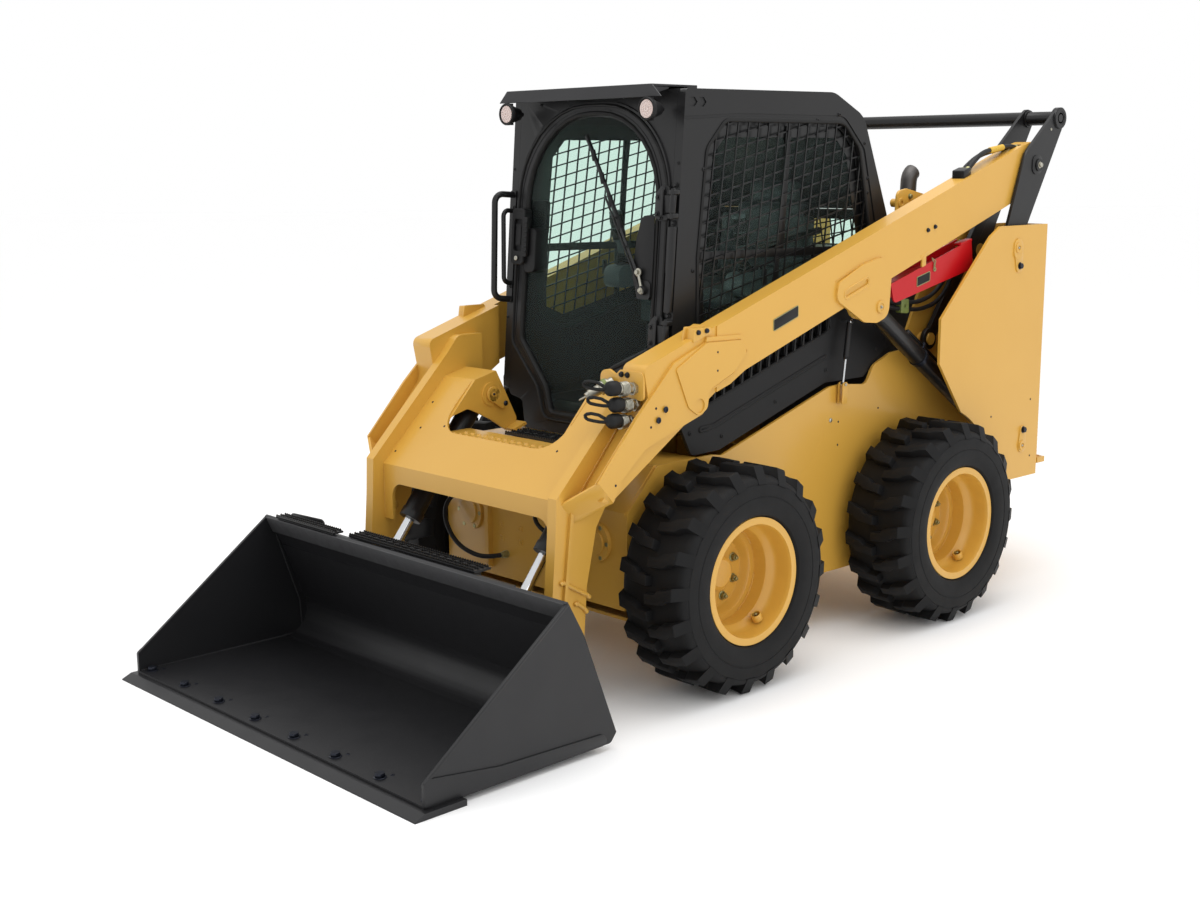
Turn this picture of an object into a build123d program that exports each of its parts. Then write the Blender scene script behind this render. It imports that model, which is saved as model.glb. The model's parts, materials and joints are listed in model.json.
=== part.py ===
"""Skid steer loader with a vertical lift arm, an enclosed cab, a quick coupler and a dirt bucket.

The loader points along -Y, its left side is +X and Z is up. All outlines are drawn in stations: y is
measured back from the front axle and z up from the floor. Every node is moved once, at the end, so that
the origin lies on the floor under the middle of the whole machine. All sizes are in millimetres.
"""

import os
from math import cos, hypot, radians, sin, sqrt, tan

from build123d import *

# ---- overall stations
WHEELBASE = 1249
FRONT_REACH = 1515  # bucket edge ahead of the front axle
REAR_OVERHANG = 1073  # bumper behind the rear axle
REAR_STATION = WHEELBASE + REAR_OVERHANG
ORIGIN_STATION = (REAR_STATION - FRONT_REACH) / 2

# ---- wheels
TYRE_RADIUS = 405
TYRE_WIDTH = 307
AXLE_HEIGHT = TYRE_RADIUS
WHEEL_X = 685  # centre plane of each wheel
BEAD_RADIUS = 210
TREAD_DEPTH = 32
LUG_HALF_WIDTH = 122
LUGS_PER_SIDE = 20
LUG_REACH = 50  # farthest that a lug reaches round the tyre from its own middle
LUG_ROOT = 30  # how deep a lug is rooted in the carcass
RIM_FLANGE_RADIUS = 226
RIM_HALF_WIDTH = 137
RIM_WALL = 9
DISC_X = -48  # wheel disc, measured out from the centre plane
HUB_RADIUS = 62
SHAFT_RADIUS = 34
SHAFT_CLEARANCE = 0.05
SHAFT_END = -178

# ---- chassis
CHASSIS_X = 500  # outer face of the side plates
PLATE = 12
BELLY_HEIGHT = 226
SKIRT_X = 484  # outer face of the louvred skirts
CHASSIS_NOSE = -300
DECK_HEIGHT = 790  # top of the tub under the cab
BUMPER_HALF = 557
BUMPER_HEIGHT = 475
BUMPER_THICK = 25
REAR_PLATE_TOP = 620
TIE_X = 528  # tie-down holes in the bumper's ends
TIE_RADIUS = 16
STACK = (300, 1560)  # exhaust stack, as (x, station)
STACK_RADIUS = 52
STACK_FOOT = 1305
STACK_LENGTH = 520

# ---- engine cover
COVER_HALF = 440
REAR_DOOR_FACE = 2262
REAR_DOOR_THICK = 22
REAR_DOOR_FLANGE = 60
REAR_DOOR_TOP = 1345
LOUVRE_COUNT = 9
LOUVRE_HALF = 330
LOUVRE_PITCH = 62
LOUVRE_OPEN = 30
HOOD_FRONT = (1640, 1468)
HOOD_BEND = (2240, 1416)
HOOD_LIP = (2278, 1366)
HOOD_THICK = 16

# ---- towers
TOWER_X = 690  # outer face of the outer panel
TOWER_INNER_X = 488  # outer face of the inner plate
TOWER_REAR = 2035
TOWER_TOP = 1564
ARCH_RADIUS = 452

# ---- cab
CAB_HALF = 450
CAB_WALL = 36
ROOF_HEIGHT = 2100  # top of the visor
ROOF_SHEET = 26
PILLAR_TOP = ROOF_HEIGHT - 15
ROOF_REAR = (1196, 1650)  # where the roof's back slope ends
VISOR_HALF = 384
VISOR_LIP_HALF = 430
VISOR_FRONT = -62
VISOR_REAR = 170
VISOR_SHEET = 8
VISOR_DROP = 44  # how far the visor's lip hangs
FRONT_LEAN = 0.08  # the cab front leans back this much per unit of height
FRONT_FOOT = -50  # cab front at FRONT_FOOT_HEIGHT
FRONT_FOOT_HEIGHT = 950

HINGE_X = 440
HINGE_AHEAD = 22  # door hinge axis ahead of the cab front
HINGE_HEIGHTS = (1236, ROOF_HEIGHT - 410)
LATCH_LOW = ROOF_HEIGHT - 650
LAMP_HEIGHT = ROOF_HEIGHT - 85

# ---- lift arm
ARM_INNER_X = 560
ARM_OUTER_X = 640
ARM_SLOPE = 0.3239
LEG_INNER_X = 490
LEG_OUTER_X = 532
KNEE_OUTER_X = 645
KNEE_PLATE = 12

# ---- pivots, as (station, height)
LINK_FOOT = (1806, 1454)
ARM_REAR_PIN = (1988, 1811)
LINK_TUBE = (2143, 2007)
LIFT_FOOT = (1896, 623)
LIFT_EYE = (918, 1282)
CONTROL_FOOT = (1421, 1110)
CONTROL_HEAD = (1900, 1742)
TILT_TOP = (-229, 970)
TILT_EYE = (-716, 348)
COUPLER_PIN = (-615, 200)

# ---- cross member between the legs
SHEET_BEND = (-609, 729)
SHEET_TOP = (-306, 1031)
SHEET_THICK = 12
NOTCH_HALF = 320
NOTCH_HEIGHT = 858
APRON_LEG = 440  # half-width between the apron's legs
APRON_LOW = 661
APRON_FOOT = 520
CHEEK_THICK = 12
OUTER_CHEEK_X = 430

# ---- links and cylinders
LINK_OUTER_X = 660
LINK_INNER_X = 494
LINK_PLATE = 14
CONTROL_X = 525
CONTROL_THICK = 20
LIFT_X = 595
LIFT_BARREL_RADIUS = 37
LIFT_ROD_RADIUS = 25
TILT_X = 380
TILT_BARREL_RADIUS = 40
TILT_ROD_RADIUS = 20
PIN_RADIUS = 25
PIN_CLEARANCE = 0.05

# ---- bucket
BUCKET_HALF = 853
EDGE_HALF = 879
BUCKET_SHEET = 9
BACK_FOOT = (-697, 51)
BACK_SLOPE = 0.39
HEEL_RADIUS = 110
COUPLER_HALF = 560
COUPLER_GAP = 3
COUPLER_PLATE = 13
EDGE_THICK = 20


# ---- drawing helpers -------------------------------------------------------------------------------


def outline(corners):
    """A closed face. Each corner is (a, b), or (a, b, radius) where it is rounded."""
    count = len(corners)
    spots = [Vector(corner[0], corner[1]) for corner in corners]
    turns = []
    for index, corner in enumerate(corners):
        here = spots[index]
        if len(corner) < 3:
            turns.append((here, here, here))
            continue
        back = (spots[index - 1] - here).normalized()
        ahead = (spots[(index + 1) % count] - here).normalized()
        half = radians(back.get_angle(ahead)) / 2
        middle = (back + ahead).normalized()
        reach = corner[2] / tan(half)
        centre = here + middle * (corner[2] / sin(half))
        turns.append((here + back * reach, centre - middle * corner[2], here + ahead * reach))
    edges = []
    for index in range(count):
        start, middle, end = turns[index]
        if (end - start).length > 0.01:
            edges.append(ThreePointArc(start, middle, end))
        following = turns[(index + 1) % count][0]
        if (following - end).length > 0.01:
            edges.append(Line(end, following))
    return make_face(edges)


def plate(corners, x_low, x_high):
    """A plate in the (station, height) plane between two x planes."""
    return extrude(Plane.YZ.offset(x_low) * outline(corners), amount=x_high - x_low)


def box(x_low, x_high, y_low, y_high, z_low, z_high):
    """A box from its limits."""
    size = Box(x_high - x_low, y_high - y_low, z_high - z_low)
    return Pos((x_low + x_high) / 2, (y_low + y_high) / 2, (z_low + z_high) / 2) * size


def pin(spot, radius, x_low, x_high):
    """A round bar along X through a (station, height) spot."""
    bar = Plane.YZ.offset(x_low) * Circle(radius)
    return Pos(0, spot[0], spot[1]) * extrude(bar, amount=x_high - x_low)


def rod(start, end, radius):
    """A round bar between two points in space."""
    along = Vector(*end) - Vector(*start)
    return extrude(Plane(origin=start, z_dir=along) * Circle(radius), amount=along.length)


def tube_path(points, bend, radius):
    """A round bar bent through points, with one bend radius."""
    path = FilletPolyline(*points, radius=bend)
    start = Plane(origin=path @ 0, z_dir=path % 0)
    return sweep(start * Circle(radius), path=path)


def both(shape):
    """A left-hand shape and its right-hand mirror image."""
    return Compound(children=[*shape.solids(), *mirror(shape, about=Plane.YZ).solids()])


def right(shape):
    return mirror(shape, about=Plane.YZ)


def gap(start, end):
    return hypot(end[0] - start[0], end[1] - start[1])


def lean(height, depth=0):
    """Station of the leaning cab front at a height, moved back by a depth."""
    return FRONT_FOOT + (height - FRONT_FOOT_HEIGHT) * FRONT_LEAN + depth


def arm_top(station):
    """Height of the arm's top edge."""
    return 1901 + (station - 1923) * ARM_SLOPE


def arm_foot(station):
    """Height of the arm's lower edge."""
    return 1651 + (station - 1814) * ARM_SLOPE


# ---- wheels ----------------------------------------------------------------------------------------


def make_tyre():
    """A tyre round the X axis: a many-sided carcass with hooked lugs, alternating left and right."""
    half = TYRE_WIDTH / 2
    bead = RIM_HALF_WIDTH - RIM_WALL - 1
    tread = TYRE_RADIUS - TREAD_DEPTH
    # (across the tyre, radius)
    rings = [
        (-bead, RIM_FLANGE_RADIUS + 6),
        (-half, 290),
        (-LUG_HALF_WIDTH, tread - 10),
        (0, tread),
        (LUG_HALF_WIDTH, tread - 10),
        (half, 290),
        (bead, RIM_FLANGE_RADIUS + 6),
    ]
    sections = [Plane.YZ.offset(across) * RegularPolygon(radius, LUGS_PER_SIDE) for across, radius in rings]
    carcass = loft(sections, ruled=True)
    bore = Plane.YZ.offset(-half) * RegularPolygon(BEAD_RADIUS, LUGS_PER_SIDE, major_radius=False)
    carcass -= extrude(bore, amount=TYRE_WIDTH)
    # A lug seen from outside, as (across, along): it starts near the middle and hooks round at the shoulder.
    shoulder = LUG_HALF_WIDTH + 4
    lug = [(6, -34), (6, 12), (shoulder, LUG_REACH), (shoulder, 2), (66, -4)]
    lugs = []
    pitch = 360 / LUGS_PER_SIDE
    for side, start in ((1, 0), (-1, pitch / 2)):
        corners = [(side * across, along) for across, along in lug]
        face = Plane.XY.offset(tread - LUG_ROOT) * make_face(Polyline(*corners, close=True))
        # The flat top is set so that its farthest corner lies on the tyre's radius.
        block = extrude(face, amount=sqrt(TYRE_RADIUS**2 - LUG_REACH**2) - (tread - LUG_ROOT))
        lugs += [Rot(start + index * pitch, 0, 0) * block for index in range(LUGS_PER_SIDE)]
    return carcass.fuse(*lugs)


def make_rim():
    """A drop-centre rim with a deep disc and the hub flange that carries it, outward along +X."""
    reach = RIM_HALF_WIDTH
    outside = [
        (reach, RIM_FLANGE_RADIUS),
        (reach - RIM_WALL, RIM_FLANGE_RADIUS),
        (reach - RIM_WALL, BEAD_RADIUS - 1),
        (62, BEAD_RADIUS - 6),
        (44, 182),
        (-62, 182),
        (-80, BEAD_RADIUS - 6),
        (-reach + RIM_WALL, BEAD_RADIUS - 1),
        (-reach + RIM_WALL, RIM_FLANGE_RADIUS),
        (-reach, RIM_FLANGE_RADIUS),
    ]
    inside = [
        (-reach, BEAD_RADIUS - RIM_WALL),
        (-80, BEAD_RADIUS - RIM_WALL - 6),
        (-66, 182 - RIM_WALL),
        (40, 182 - RIM_WALL),
        (66, BEAD_RADIUS - RIM_WALL - 6),
        (reach, BEAD_RADIUS - RIM_WALL),
    ]
    barrel = revolve(make_face(Polyline(*outside, *inside, close=True)), axis=Axis.X)
    disc = [
        (DISC_X, HUB_RADIUS),
        (DISC_X, 132),
        (DISC_X + 34, 150),
        (DISC_X + 34, 182 - RIM_WALL + 2),
        (DISC_X + 22, 182 - RIM_WALL + 2),
        (DISC_X + 22, 156),
        (DISC_X - 12, 138),
        (DISC_X - 12, HUB_RADIUS),
    ]
    disc = revolve(make_face(Polyline(*disc, close=True)), axis=Axis.X)
    hub = [
        (DISC_X + 34, 0),
        (DISC_X + 34, HUB_RADIUS - 14),
        (DISC_X + 26, HUB_RADIUS + 0.5),
        (DISC_X - 12, HUB_RADIUS + 0.5),
        (DISC_X - 12, 124),
        (DISC_X - 28, 124),
        (DISC_X - 28, SHAFT_RADIUS),
        (SHAFT_END, SHAFT_RADIUS),
        (SHAFT_END, 0),
    ]
    hub = revolve(make_face(Polyline(*hub, close=True)), axis=Axis.X)
    return barrel + disc + hub


def make_axles():
    """Four axle tubes bolted to the chassis sides, bored for the wheel shafts."""
    nodes = []
    for station in (0, WHEELBASE):
        inner = CHASSIS_X
        outer = WHEEL_X + DISC_X - 28 - 6
        spot = (station, AXLE_HEIGHT)
        tube = pin(spot, 78, inner, outer) + pin(spot, 112, inner, inner + 18)
        tube += pin(spot, 92, outer - 16, outer)
        tube -= pin(spot, SHAFT_RADIUS + SHAFT_CLEARANCE, WHEEL_X + SHAFT_END - 4, outer + 1)
        nodes.append(tube)
    return both(nodes[0] + nodes[1])


# ---- chassis and rear ------------------------------------------------------------------------------


def make_chassis():
    """Side plates, belly, nose, rear frame and bumper, welded into an open-topped tub."""
    side = [
        (CHASSIS_NOSE, 300, 30),
        (CHASSIS_NOSE + 60, BELLY_HEIGHT, 40),
        (1560, BELLY_HEIGHT, 60),
        (REAR_STATION - 40, 500),
        (REAR_STATION - 40, 620, 30),
        (1880, 700, 60),
        (1560, 1000, 60),
        (1440, 1080, 40),
        (1200, 1069, 30),
        (1087, 1029, 60),
        (1040, 956, 40),
        (879, 973),
        (807, 969),
        (188, 782),
        (140, DECK_HEIGHT),
        (-150, DECK_HEIGHT, 30),
        (CHASSIS_NOSE, 640, 30),
    ]
    tub = plate(side, CHASSIS_X - PLATE, CHASSIS_X)
    tub += right(tub)
    reach = CHASSIS_X - PLATE
    tub += box(-reach, reach, CHASSIS_NOSE + 70, 1540, BELLY_HEIGHT, BELLY_HEIGHT + PLATE)
    nose = [(CHASSIS_NOSE, 290), (CHASSIS_NOSE, 640), (-160, DECK_HEIGHT - 4), (-148, DECK_HEIGHT - 12)]
    nose += [(CHASSIS_NOSE + PLATE, 634), (CHASSIS_NOSE + PLATE, 290)]
    tub += plate(nose, -reach, reach)
    run = (1540, REAR_STATION - 40)
    ramp = [(run[0], BELLY_HEIGHT), (run[1], 488), (run[1], 500), (run[0], BELLY_HEIGHT + PLATE)]
    tub += plate(ramp, -reach, reach)
    bumper_top = BUMPER_HEIGHT + BUMPER_THICK
    tub += box(-BUMPER_HALF, BUMPER_HALF, REAR_STATION - 60, REAR_STATION, BUMPER_HEIGHT, bumper_top)
    for x in (-TIE_X, TIE_X):
        hole = extrude(Circle(TIE_RADIUS), amount=BUMPER_THICK + 2)
        tub -= Pos(x, REAR_STATION - 30, BUMPER_HEIGHT - 1) * hole
    tub += box(-reach, reach, REAR_STATION - 52, REAR_STATION - 40, 500, REAR_PLATE_TOP)
    tub += box(-reach, reach, -160, 60, DECK_HEIGHT - PLATE, DECK_HEIGHT)
    # Two bent ribs and the round covers of the drive motors on the nose.
    for side in (-1, 1):
        low, high = sorted((side * 230, side * 252))
        rib = [
            (CHASSIS_NOSE - 22, 330, 10),
            (CHASSIS_NOSE - 22, 600, 20),
            (CHASSIS_NOSE + 4, 632),
            (CHASSIS_NOSE + 4, 316),
        ]
        tub += plate(rib, low, high)
        cover = Plane(origin=(side * 350, CHASSIS_NOSE + 2, 520), z_dir=(0, -1, 0))
        tub += extrude(cover * Circle(72), amount=18) + extrude(cover * Circle(48), amount=26)
    # Cross plates that stiffen the tub and carry the chain cases.
    for station in (300, 980):
        tub += box(-reach, reach, station, station + PLATE, BELLY_HEIGHT + PLATE, 640)
    return tub


def tower_outline():
    """The outer panel, rounded round the wheel and cut back at the front."""
    low = AXLE_HEIGHT
    start = Vector(1430, low + sqrt(ARCH_RADIUS**2 - (1430 - WHEELBASE) ** 2))
    end = Vector(WHEELBASE + sqrt(ARCH_RADIUS**2 - 90**2), low + 90)
    turn = radians(40)
    middle = Vector(WHEELBASE + ARCH_RADIUS * cos(turn), low + ARCH_RADIUS * sin(turn))
    return start, middle, end


def make_tower():
    """Left tower: outer panel, inner plate, rear wall, arched floor, low front wall and the fixed pins."""
    start, middle, end = tower_outline()
    arch = ThreePointArc(start, middle, end)
    edge = Polyline(
        end,
        (1823, 481),
        (2026, 480),
        (TOWER_REAR, TOWER_TOP),
        (1673, TOWER_TOP),
        (1602, TOWER_TOP - 38),
        (1268, 1211),
        (1267, 1032),
        start,
    )
    panel_face = make_face([arch, *edge.edges()])
    panel = extrude(Plane.YZ.offset(TOWER_X - PLATE) * panel_face, amount=PLATE)
    inner = [
        (1290, 1085),
        (1560, 1000),
        (1860, 720, 40),
        (TOWER_REAR, 690),
        (TOWER_REAR, TOWER_TOP),
        (1673, TOWER_TOP, 60),
        (1400, 1300, 60),
    ]
    tower = panel + plate(inner, TOWER_INNER_X - PLATE, TOWER_INNER_X)
    tower += box(TOWER_INNER_X - PLATE, TOWER_X - PLATE, TOWER_REAR - PLATE, TOWER_REAR, 690, TOWER_TOP)
    tower += box(CHASSIS_X, TOWER_X - PLATE, TOWER_REAR - PLATE - 9, TOWER_REAR - 9, 480, 690)
    # Pins for the link, the control link and the lift cylinder.
    tower += pin(LINK_FOOT, 30, LINK_OUTER_X - LINK_PLATE - 4, TOWER_X + 6)
    tower += pin(LINK_FOOT, 30, TOWER_INNER_X - PLATE - 6, LINK_INNER_X + LINK_PLATE + 3)
    tower += pin(LINK_FOOT, 62, LINK_OUTER_X + 6, TOWER_X - PLATE)
    tower += pin(LIFT_FOOT, PIN_RADIUS, LIFT_X - 44, TOWER_X + 6)
    tower += pin(LIFT_FOOT, 58, LIFT_X + 52, TOWER_X - PLATE)
    tower += pin(CONTROL_FOOT, PIN_RADIUS, TOWER_INNER_X - PLATE, CONTROL_X + CONTROL_THICK / 2 + 6)
    return tower


def make_engine():
    """The engine with its radiator and pumps, as one plain block."""
    return box(-300, 300, 1330, 2120, 520, 1300)


def make_hood():
    """The lid over the engine bay, hinged at its front edge, with two rows of slots and side flanges."""
    lid = [
        HOOD_FRONT,
        (HOOD_FRONT[0], HOOD_FRONT[1] - HOOD_THICK),
        (HOOD_BEND[0] - 10, HOOD_BEND[1] - HOOD_THICK),
        (HOOD_LIP[0] - 12, HOOD_LIP[1] - 6),
        HOOD_LIP,
        HOOD_BEND,
    ]
    hood = plate(lid, -COVER_HALF, COVER_HALF)
    for x in (-210, 210):
        for row in range(8):
            station = HOOD_FRONT[0] + 90 + row * 48
            hood -= box(x - 120, x + 120, station, station + 20, HOOD_BEND[1] - 60, HOOD_FRONT[1] + 40)
    return hood


def make_cowl():
    """The fixed shelf between the cab and the hood, holed for the exhaust."""
    front, rear = (1330, 1440), (HOOD_FRONT[0] - 10, HOOD_FRONT[1] - 4)
    section = [front, (front[0], front[1] - PLATE), (rear[0], rear[1] - PLATE), rear]
    shelf = plate(section, -COVER_HALF - 20, COVER_HALF + 20)
    hole = Pos(*STACK, front[1] - 40) * extrude(Circle(STACK_RADIUS + 8), amount=100)
    return shelf - hole


def make_exhaust():
    """The exhaust stack: a bent-over mouth with a rounded back on a wider foot."""
    foot = Pos(*STACK, STACK_FOOT)
    stack = foot * extrude(Circle(STACK_RADIUS), amount=STACK_LENGTH)
    stack += foot * extrude(Circle(STACK_RADIUS + 24), amount=60)
    # The top is rounded off by a large ball, so that the mouth opens rearward.
    rounding = Pos(STACK[0], STACK[1] + 40, STACK_FOOT + STACK_LENGTH - 105) * Sphere(120)
    cap = Pos(0, 0, STACK_LENGTH - 110) * foot * extrude(Circle(STACK_RADIUS + 1), amount=120)
    stack = stack - (cap - rounding)
    bore = Pos(0, 0, 80) * foot * extrude(Circle(STACK_RADIUS - 6), amount=STACK_LENGTH - 150)
    mouth = Pos(STACK[0], STACK[1] + 50, STACK_FOOT + STACK_LENGTH - 30) * Rot(-40, 0, 0) * Box(84, 120, 60)
    return stack - bore - mouth


def make_rear_door():
    """The engine door between the towers: a louvred panel with flanged sides and slanted slats."""
    low = REAR_PLATE_TOP + 10
    front = REAR_DOOR_FACE - REAR_DOOR_THICK
    flange = front - REAR_DOOR_FLANGE
    door = box(-COVER_HALF, COVER_HALF, front, REAR_DOOR_FACE, low, REAR_DOOR_TOP)
    for x in (-COVER_HALF, COVER_HALF - REAR_DOOR_THICK):
        door += box(x, x + REAR_DOOR_THICK, flange, front, low, REAR_DOOR_TOP)
    for index in range(LOUVRE_COUNT):
        height = low + 70 + index * LOUVRE_PITCH
        door -= box(-LOUVRE_HALF, LOUVRE_HALF, front - 1, REAR_DOOR_FACE + 1, height, height + LOUVRE_OPEN)
        slat = [
            (front, height + LOUVRE_OPEN + 4),
            (front + 6, height + LOUVRE_OPEN + 4),
            (REAR_DOOR_FACE + 10, height + 4),
            (REAR_DOOR_FACE + 4, height),
        ]
        door += plate(slat, -LOUVRE_HALF - 1, LOUVRE_HALF + 1)
    return door


def make_skirts():
    """Black louvred skirts between the cab and the chassis sides."""
    side = [
        (-20, 914, 20),
        (40, 797, 30),
        (188, 800),
        (795, 985),
        (1040, 985, 20),
        (1180, 1085),
        (1180, 1330, 60),
        (816, 1290),
        (-20, 1010, 20),
    ]
    skirt = plate(side, SKIRT_X - 14, SKIRT_X)
    for index in range(14):
        station = 118 + index * 50
        height = 1016 + (station - 99) * 0.31
        near, far = station, station + 30
        slot = [(near, height), (far, height + 9), (far, height - 36), (near, height - 45)]
        skirt -= plate(slot, SKIRT_X - 20, SKIRT_X + 4)
    return both(skirt)


# ---- cab -------------------------------------------------------------------------------------------


def front_shift(corners, depth):
    """Corners given as (x, height) put on the leaning cab front."""
    place = Plane(
        origin=(0, lean(FRONT_FOOT_HEIGHT, depth), FRONT_FOOT_HEIGHT),
        x_dir=(1, 0, 0),
        z_dir=(0, -1, FRONT_LEAN),
    )
    stretch = sqrt(1 + FRONT_LEAN**2)
    return place * outline([(x, (z - FRONT_FOOT_HEIGHT) * stretch, *turn) for x, z, *turn in corners])


def cab_side_corners():
    """The cab seen from the side."""
    return [
        (lean(FRONT_FOOT_HEIGHT), FRONT_FOOT_HEIGHT, 20),
        (lean(PILLAR_TOP), PILLAR_TOP, 16),
        (867, PILLAR_TOP + 6, 120),
        (1054, PILLAR_TOP - 81, 110),
        (1217, 1620, 40),
        (1217, 1110, 20),
        (816, 1010),
        (300, 950),
    ]


WINDOW_TOP = ROOF_HEIGHT - 121
WINDOW = [
    (104, 1498, 30),
    (150, WINDOW_TOP - 99, 60),
    (246, WINDOW_TOP, 60),
    (931, WINDOW_TOP, 90),
    (1030, WINDOW_TOP - 98, 70),
    (1108, 1540, 60),
    (1000, 1346, 80),
    (250, 1170, 60),
    (104, 1230, 50),
]


def shrunk(corners, amount):
    """An outline scaled toward its own middle, so that it lies inside by about the amount."""
    high = [corner[1] for corner in corners]
    wide = [corner[0] for corner in corners]
    middle_y = (min(wide) + max(wide)) / 2
    middle_z = (min(high) + max(high)) / 2
    scale_y = 1 - 2 * amount / (max(wide) - min(wide))
    scale_z = 1 - 2 * amount / (max(high) - min(high))
    result = []
    for y, z, *turn in corners:
        result.append((middle_y + (y - middle_y) * scale_y, middle_z + (z - middle_z) * scale_z, *turn))
    return result


def make_cab_side():
    """The left side wall: window, sash ledge, a pressed seam, and a frame standing round the window."""
    wall = plate(cab_side_corners(), CAB_HALF - CAB_WALL, CAB_HALF)
    seam_top = WINDOW_TOP + 25
    seam = [
        (lean(seam_top - 14) + 2, seam_top - 14),
        (300, seam_top),
        (930, seam_top, 90),
        (1062, seam_top - 124, 60),
        (1150, seam_top - 444),
        (1138, seam_top - 448),
        (1050, seam_top - 128, 60),
        (922, seam_top - 12, 90),
        (300, seam_top - 12),
        (lean(seam_top - 26) + 2, seam_top - 26),
    ]
    wall -= plate(seam, CAB_HALF - 4, CAB_HALF + 2)
    wall -= plate(WINDOW, CAB_HALF - CAB_WALL - 2, CAB_HALF + 2)
    # A thin rim stands inside the opening and holds the guard.
    rim = plate(WINDOW, CAB_HALF - 22, CAB_HALF - 16) - plate(shrunk(WINDOW, 16), CAB_HALF - 30, CAB_HALF)
    wall += rim
    # Two blank vent pressings at the top front corner.
    middle = ROOF_HEIGHT - 60
    for front in (60, 106):
        mark = [(front, middle + 16), (front + 26, middle + 16), (front + 40, middle)]
        mark += [(front + 26, middle - 16), (front, middle - 16), (front + 14, middle)]
        wall -= plate(mark, CAB_HALF - 4, CAB_HALF + 2)
    return wall


DOOR_TOP = ROOF_HEIGHT - 60
DOOR = [
    (-198, 869, 45),
    (-240, 985, 110),
    (-402, 1146, 50),
    (-398, DOOR_TOP - 540),
    (-396, DOOR_TOP, 350),
    (396, DOOR_TOP, 350),
    (400, 1150, 50),
    (170, 1040, 70),
    (164, 869, 40),
]
DOOR_GLASS = [
    (-168, 888, 35),
    (-200, 985, 110),
    (-358, 1160, 50),
    (-354, DOOR_TOP - 540),
    (-354, DOOR_TOP - 24, 330),
    (354, DOOR_TOP - 24, 330),
    (358, 1172, 50),
    (128, 1070, 70),
    (122, 888, 35),
]


def grown(corners, amount):
    """The door's outline opened up by a running gap."""
    middle = 1460
    result = []
    for corner in corners:
        shift = amount if corner[0] > 0 else -amount
        rise = amount if corner[1] > middle else -amount
        result.append((corner[0] + shift, corner[1] + rise, *corner[2:]))
    return result


def make_cab_front():
    """The front frame: two pillars and the header, with a stepped, arched recess round the door."""
    inner = CAB_HALF - CAB_WALL - 0.5
    frame = [
        (-inner, 942, 20),
        (-inner, PILLAR_TOP),
        (inner, PILLAR_TOP),
        (inner, 942, 20),
        (335, 926, 20),
        (310, 820, 20),
        (-310, 820, 20),
        (-335, 926, 20),
    ]
    frame = extrude(front_shift(frame, 0), amount=-40)
    frame -= extrude(front_shift(grown(DOOR, 6), -30), amount=-120)
    # A raised bead follows the door's arch.
    bead = extrude(front_shift(grown(DOOR, 11), 0), amount=6)
    bead -= extrude(front_shift(grown(DOOR, 6), -30), amount=-120)
    above = box(-inner + 2, inner - 2, -200, 400, 1450, PILLAR_TOP - 6)
    return frame + (bead & above)


def make_cab_floor():
    """The floor pan and the foot well."""
    floor = box(-CAB_HALF + CAB_WALL + 1, CAB_HALF - CAB_WALL - 1, 20, 700, 905, 917)
    seat_box = box(-260, 260, 560, 1000, 917, 1180)
    return floor + seat_box


def make_cab_rear():
    """The rear wall with its window."""
    reach = CAB_HALF - CAB_WALL - 0.5
    top = ROOF_REAR[1] - 10
    wall = box(-reach, reach, 1175, 1205, 1120, top)
    window = box(-reach + 70, reach - 70, 1160, 1220, 1300, top - 40)
    return wall - window


def make_cab_roof():
    """The roof, curved down at the back, with the visor, its gussets and its hanging lip."""
    reach = CAB_HALF - CAB_WALL - 0.5
    top = PILLAR_TOP + 1
    front = lean(PILLAR_TOP) + 44
    roof = [
        (front, top - ROOF_SHEET),
        (front, top),
        (860, top, 120),
        (1046, top - 86, 110),
        ROOF_REAR,
        (ROOF_REAR[0] - 24, ROOF_REAR[1] - 8),
        (1030, top - 110, 90),
        (850, top - ROOF_SHEET - 2, 90),
    ]
    roof = plate(roof, -reach, reach)
    visor = box(-VISOR_HALF, VISOR_HALF, VISOR_FRONT, VISOR_REAR, ROOF_HEIGHT - VISOR_SHEET, ROOF_HEIGHT)
    low = ROOF_HEIGHT - VISOR_DROP
    lip = [(-VISOR_HALF, ROOF_HEIGHT), (VISOR_HALF, ROOF_HEIGHT)]
    lip += [(VISOR_LIP_HALF, low), (-VISOR_LIP_HALF, low)]
    lip = make_face(Polyline(*lip, close=True))
    visor += Pos(0, VISOR_FRONT + 6, 0) * extrude(Plane.XZ * lip, amount=6)
    visor += box(-VISOR_HALF, VISOR_HALF, VISOR_REAR - 50, VISOR_REAR, top - 6, ROOF_HEIGHT)
    # Side gussets run from the lip back under the visor.
    high = ROOF_HEIGHT - 2
    gusset = [(VISOR_FRONT, low + 4), (VISOR_FRONT, high), (30, high), (30, high - 12)]
    gusset = plate(gusset, VISOR_HALF - 10, VISOR_HALF - 4)
    visor += gusset + right(gusset)
    # Two shallow ribs stiffen the roof.
    for x in (-200, 200):
        visor += box(x - 30, x + 30, VISOR_REAR - 10, 760, top - 4, top + 6)
    return roof + visor


def mesh_rods(corners, x_low, slope, pitch, size):
    """Parallel rods clipped to an outline, all in one thin layer."""
    area = plate(corners, x_low, x_low + size)
    box_of = area.bounding_box()
    mid_y = (box_of.min.Y + box_of.max.Y) / 2
    mid_z = (box_of.min.Z + box_of.max.Z) / 2
    reach = (box_of.max.Y - box_of.min.Y) + (box_of.max.Z - box_of.min.Z)
    count = int(reach / pitch / 2)
    rods = []
    for index in range(-count, count + 1):
        place = Pos(x_low + size / 2, mid_y, mid_z) * Rot(slope, 0, 0) * Pos(0, 0, index * pitch)
        bar = place * Box(size, reach, size)
        got = bar & area
        if got:
            rods += got.solids()
    return rods


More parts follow.
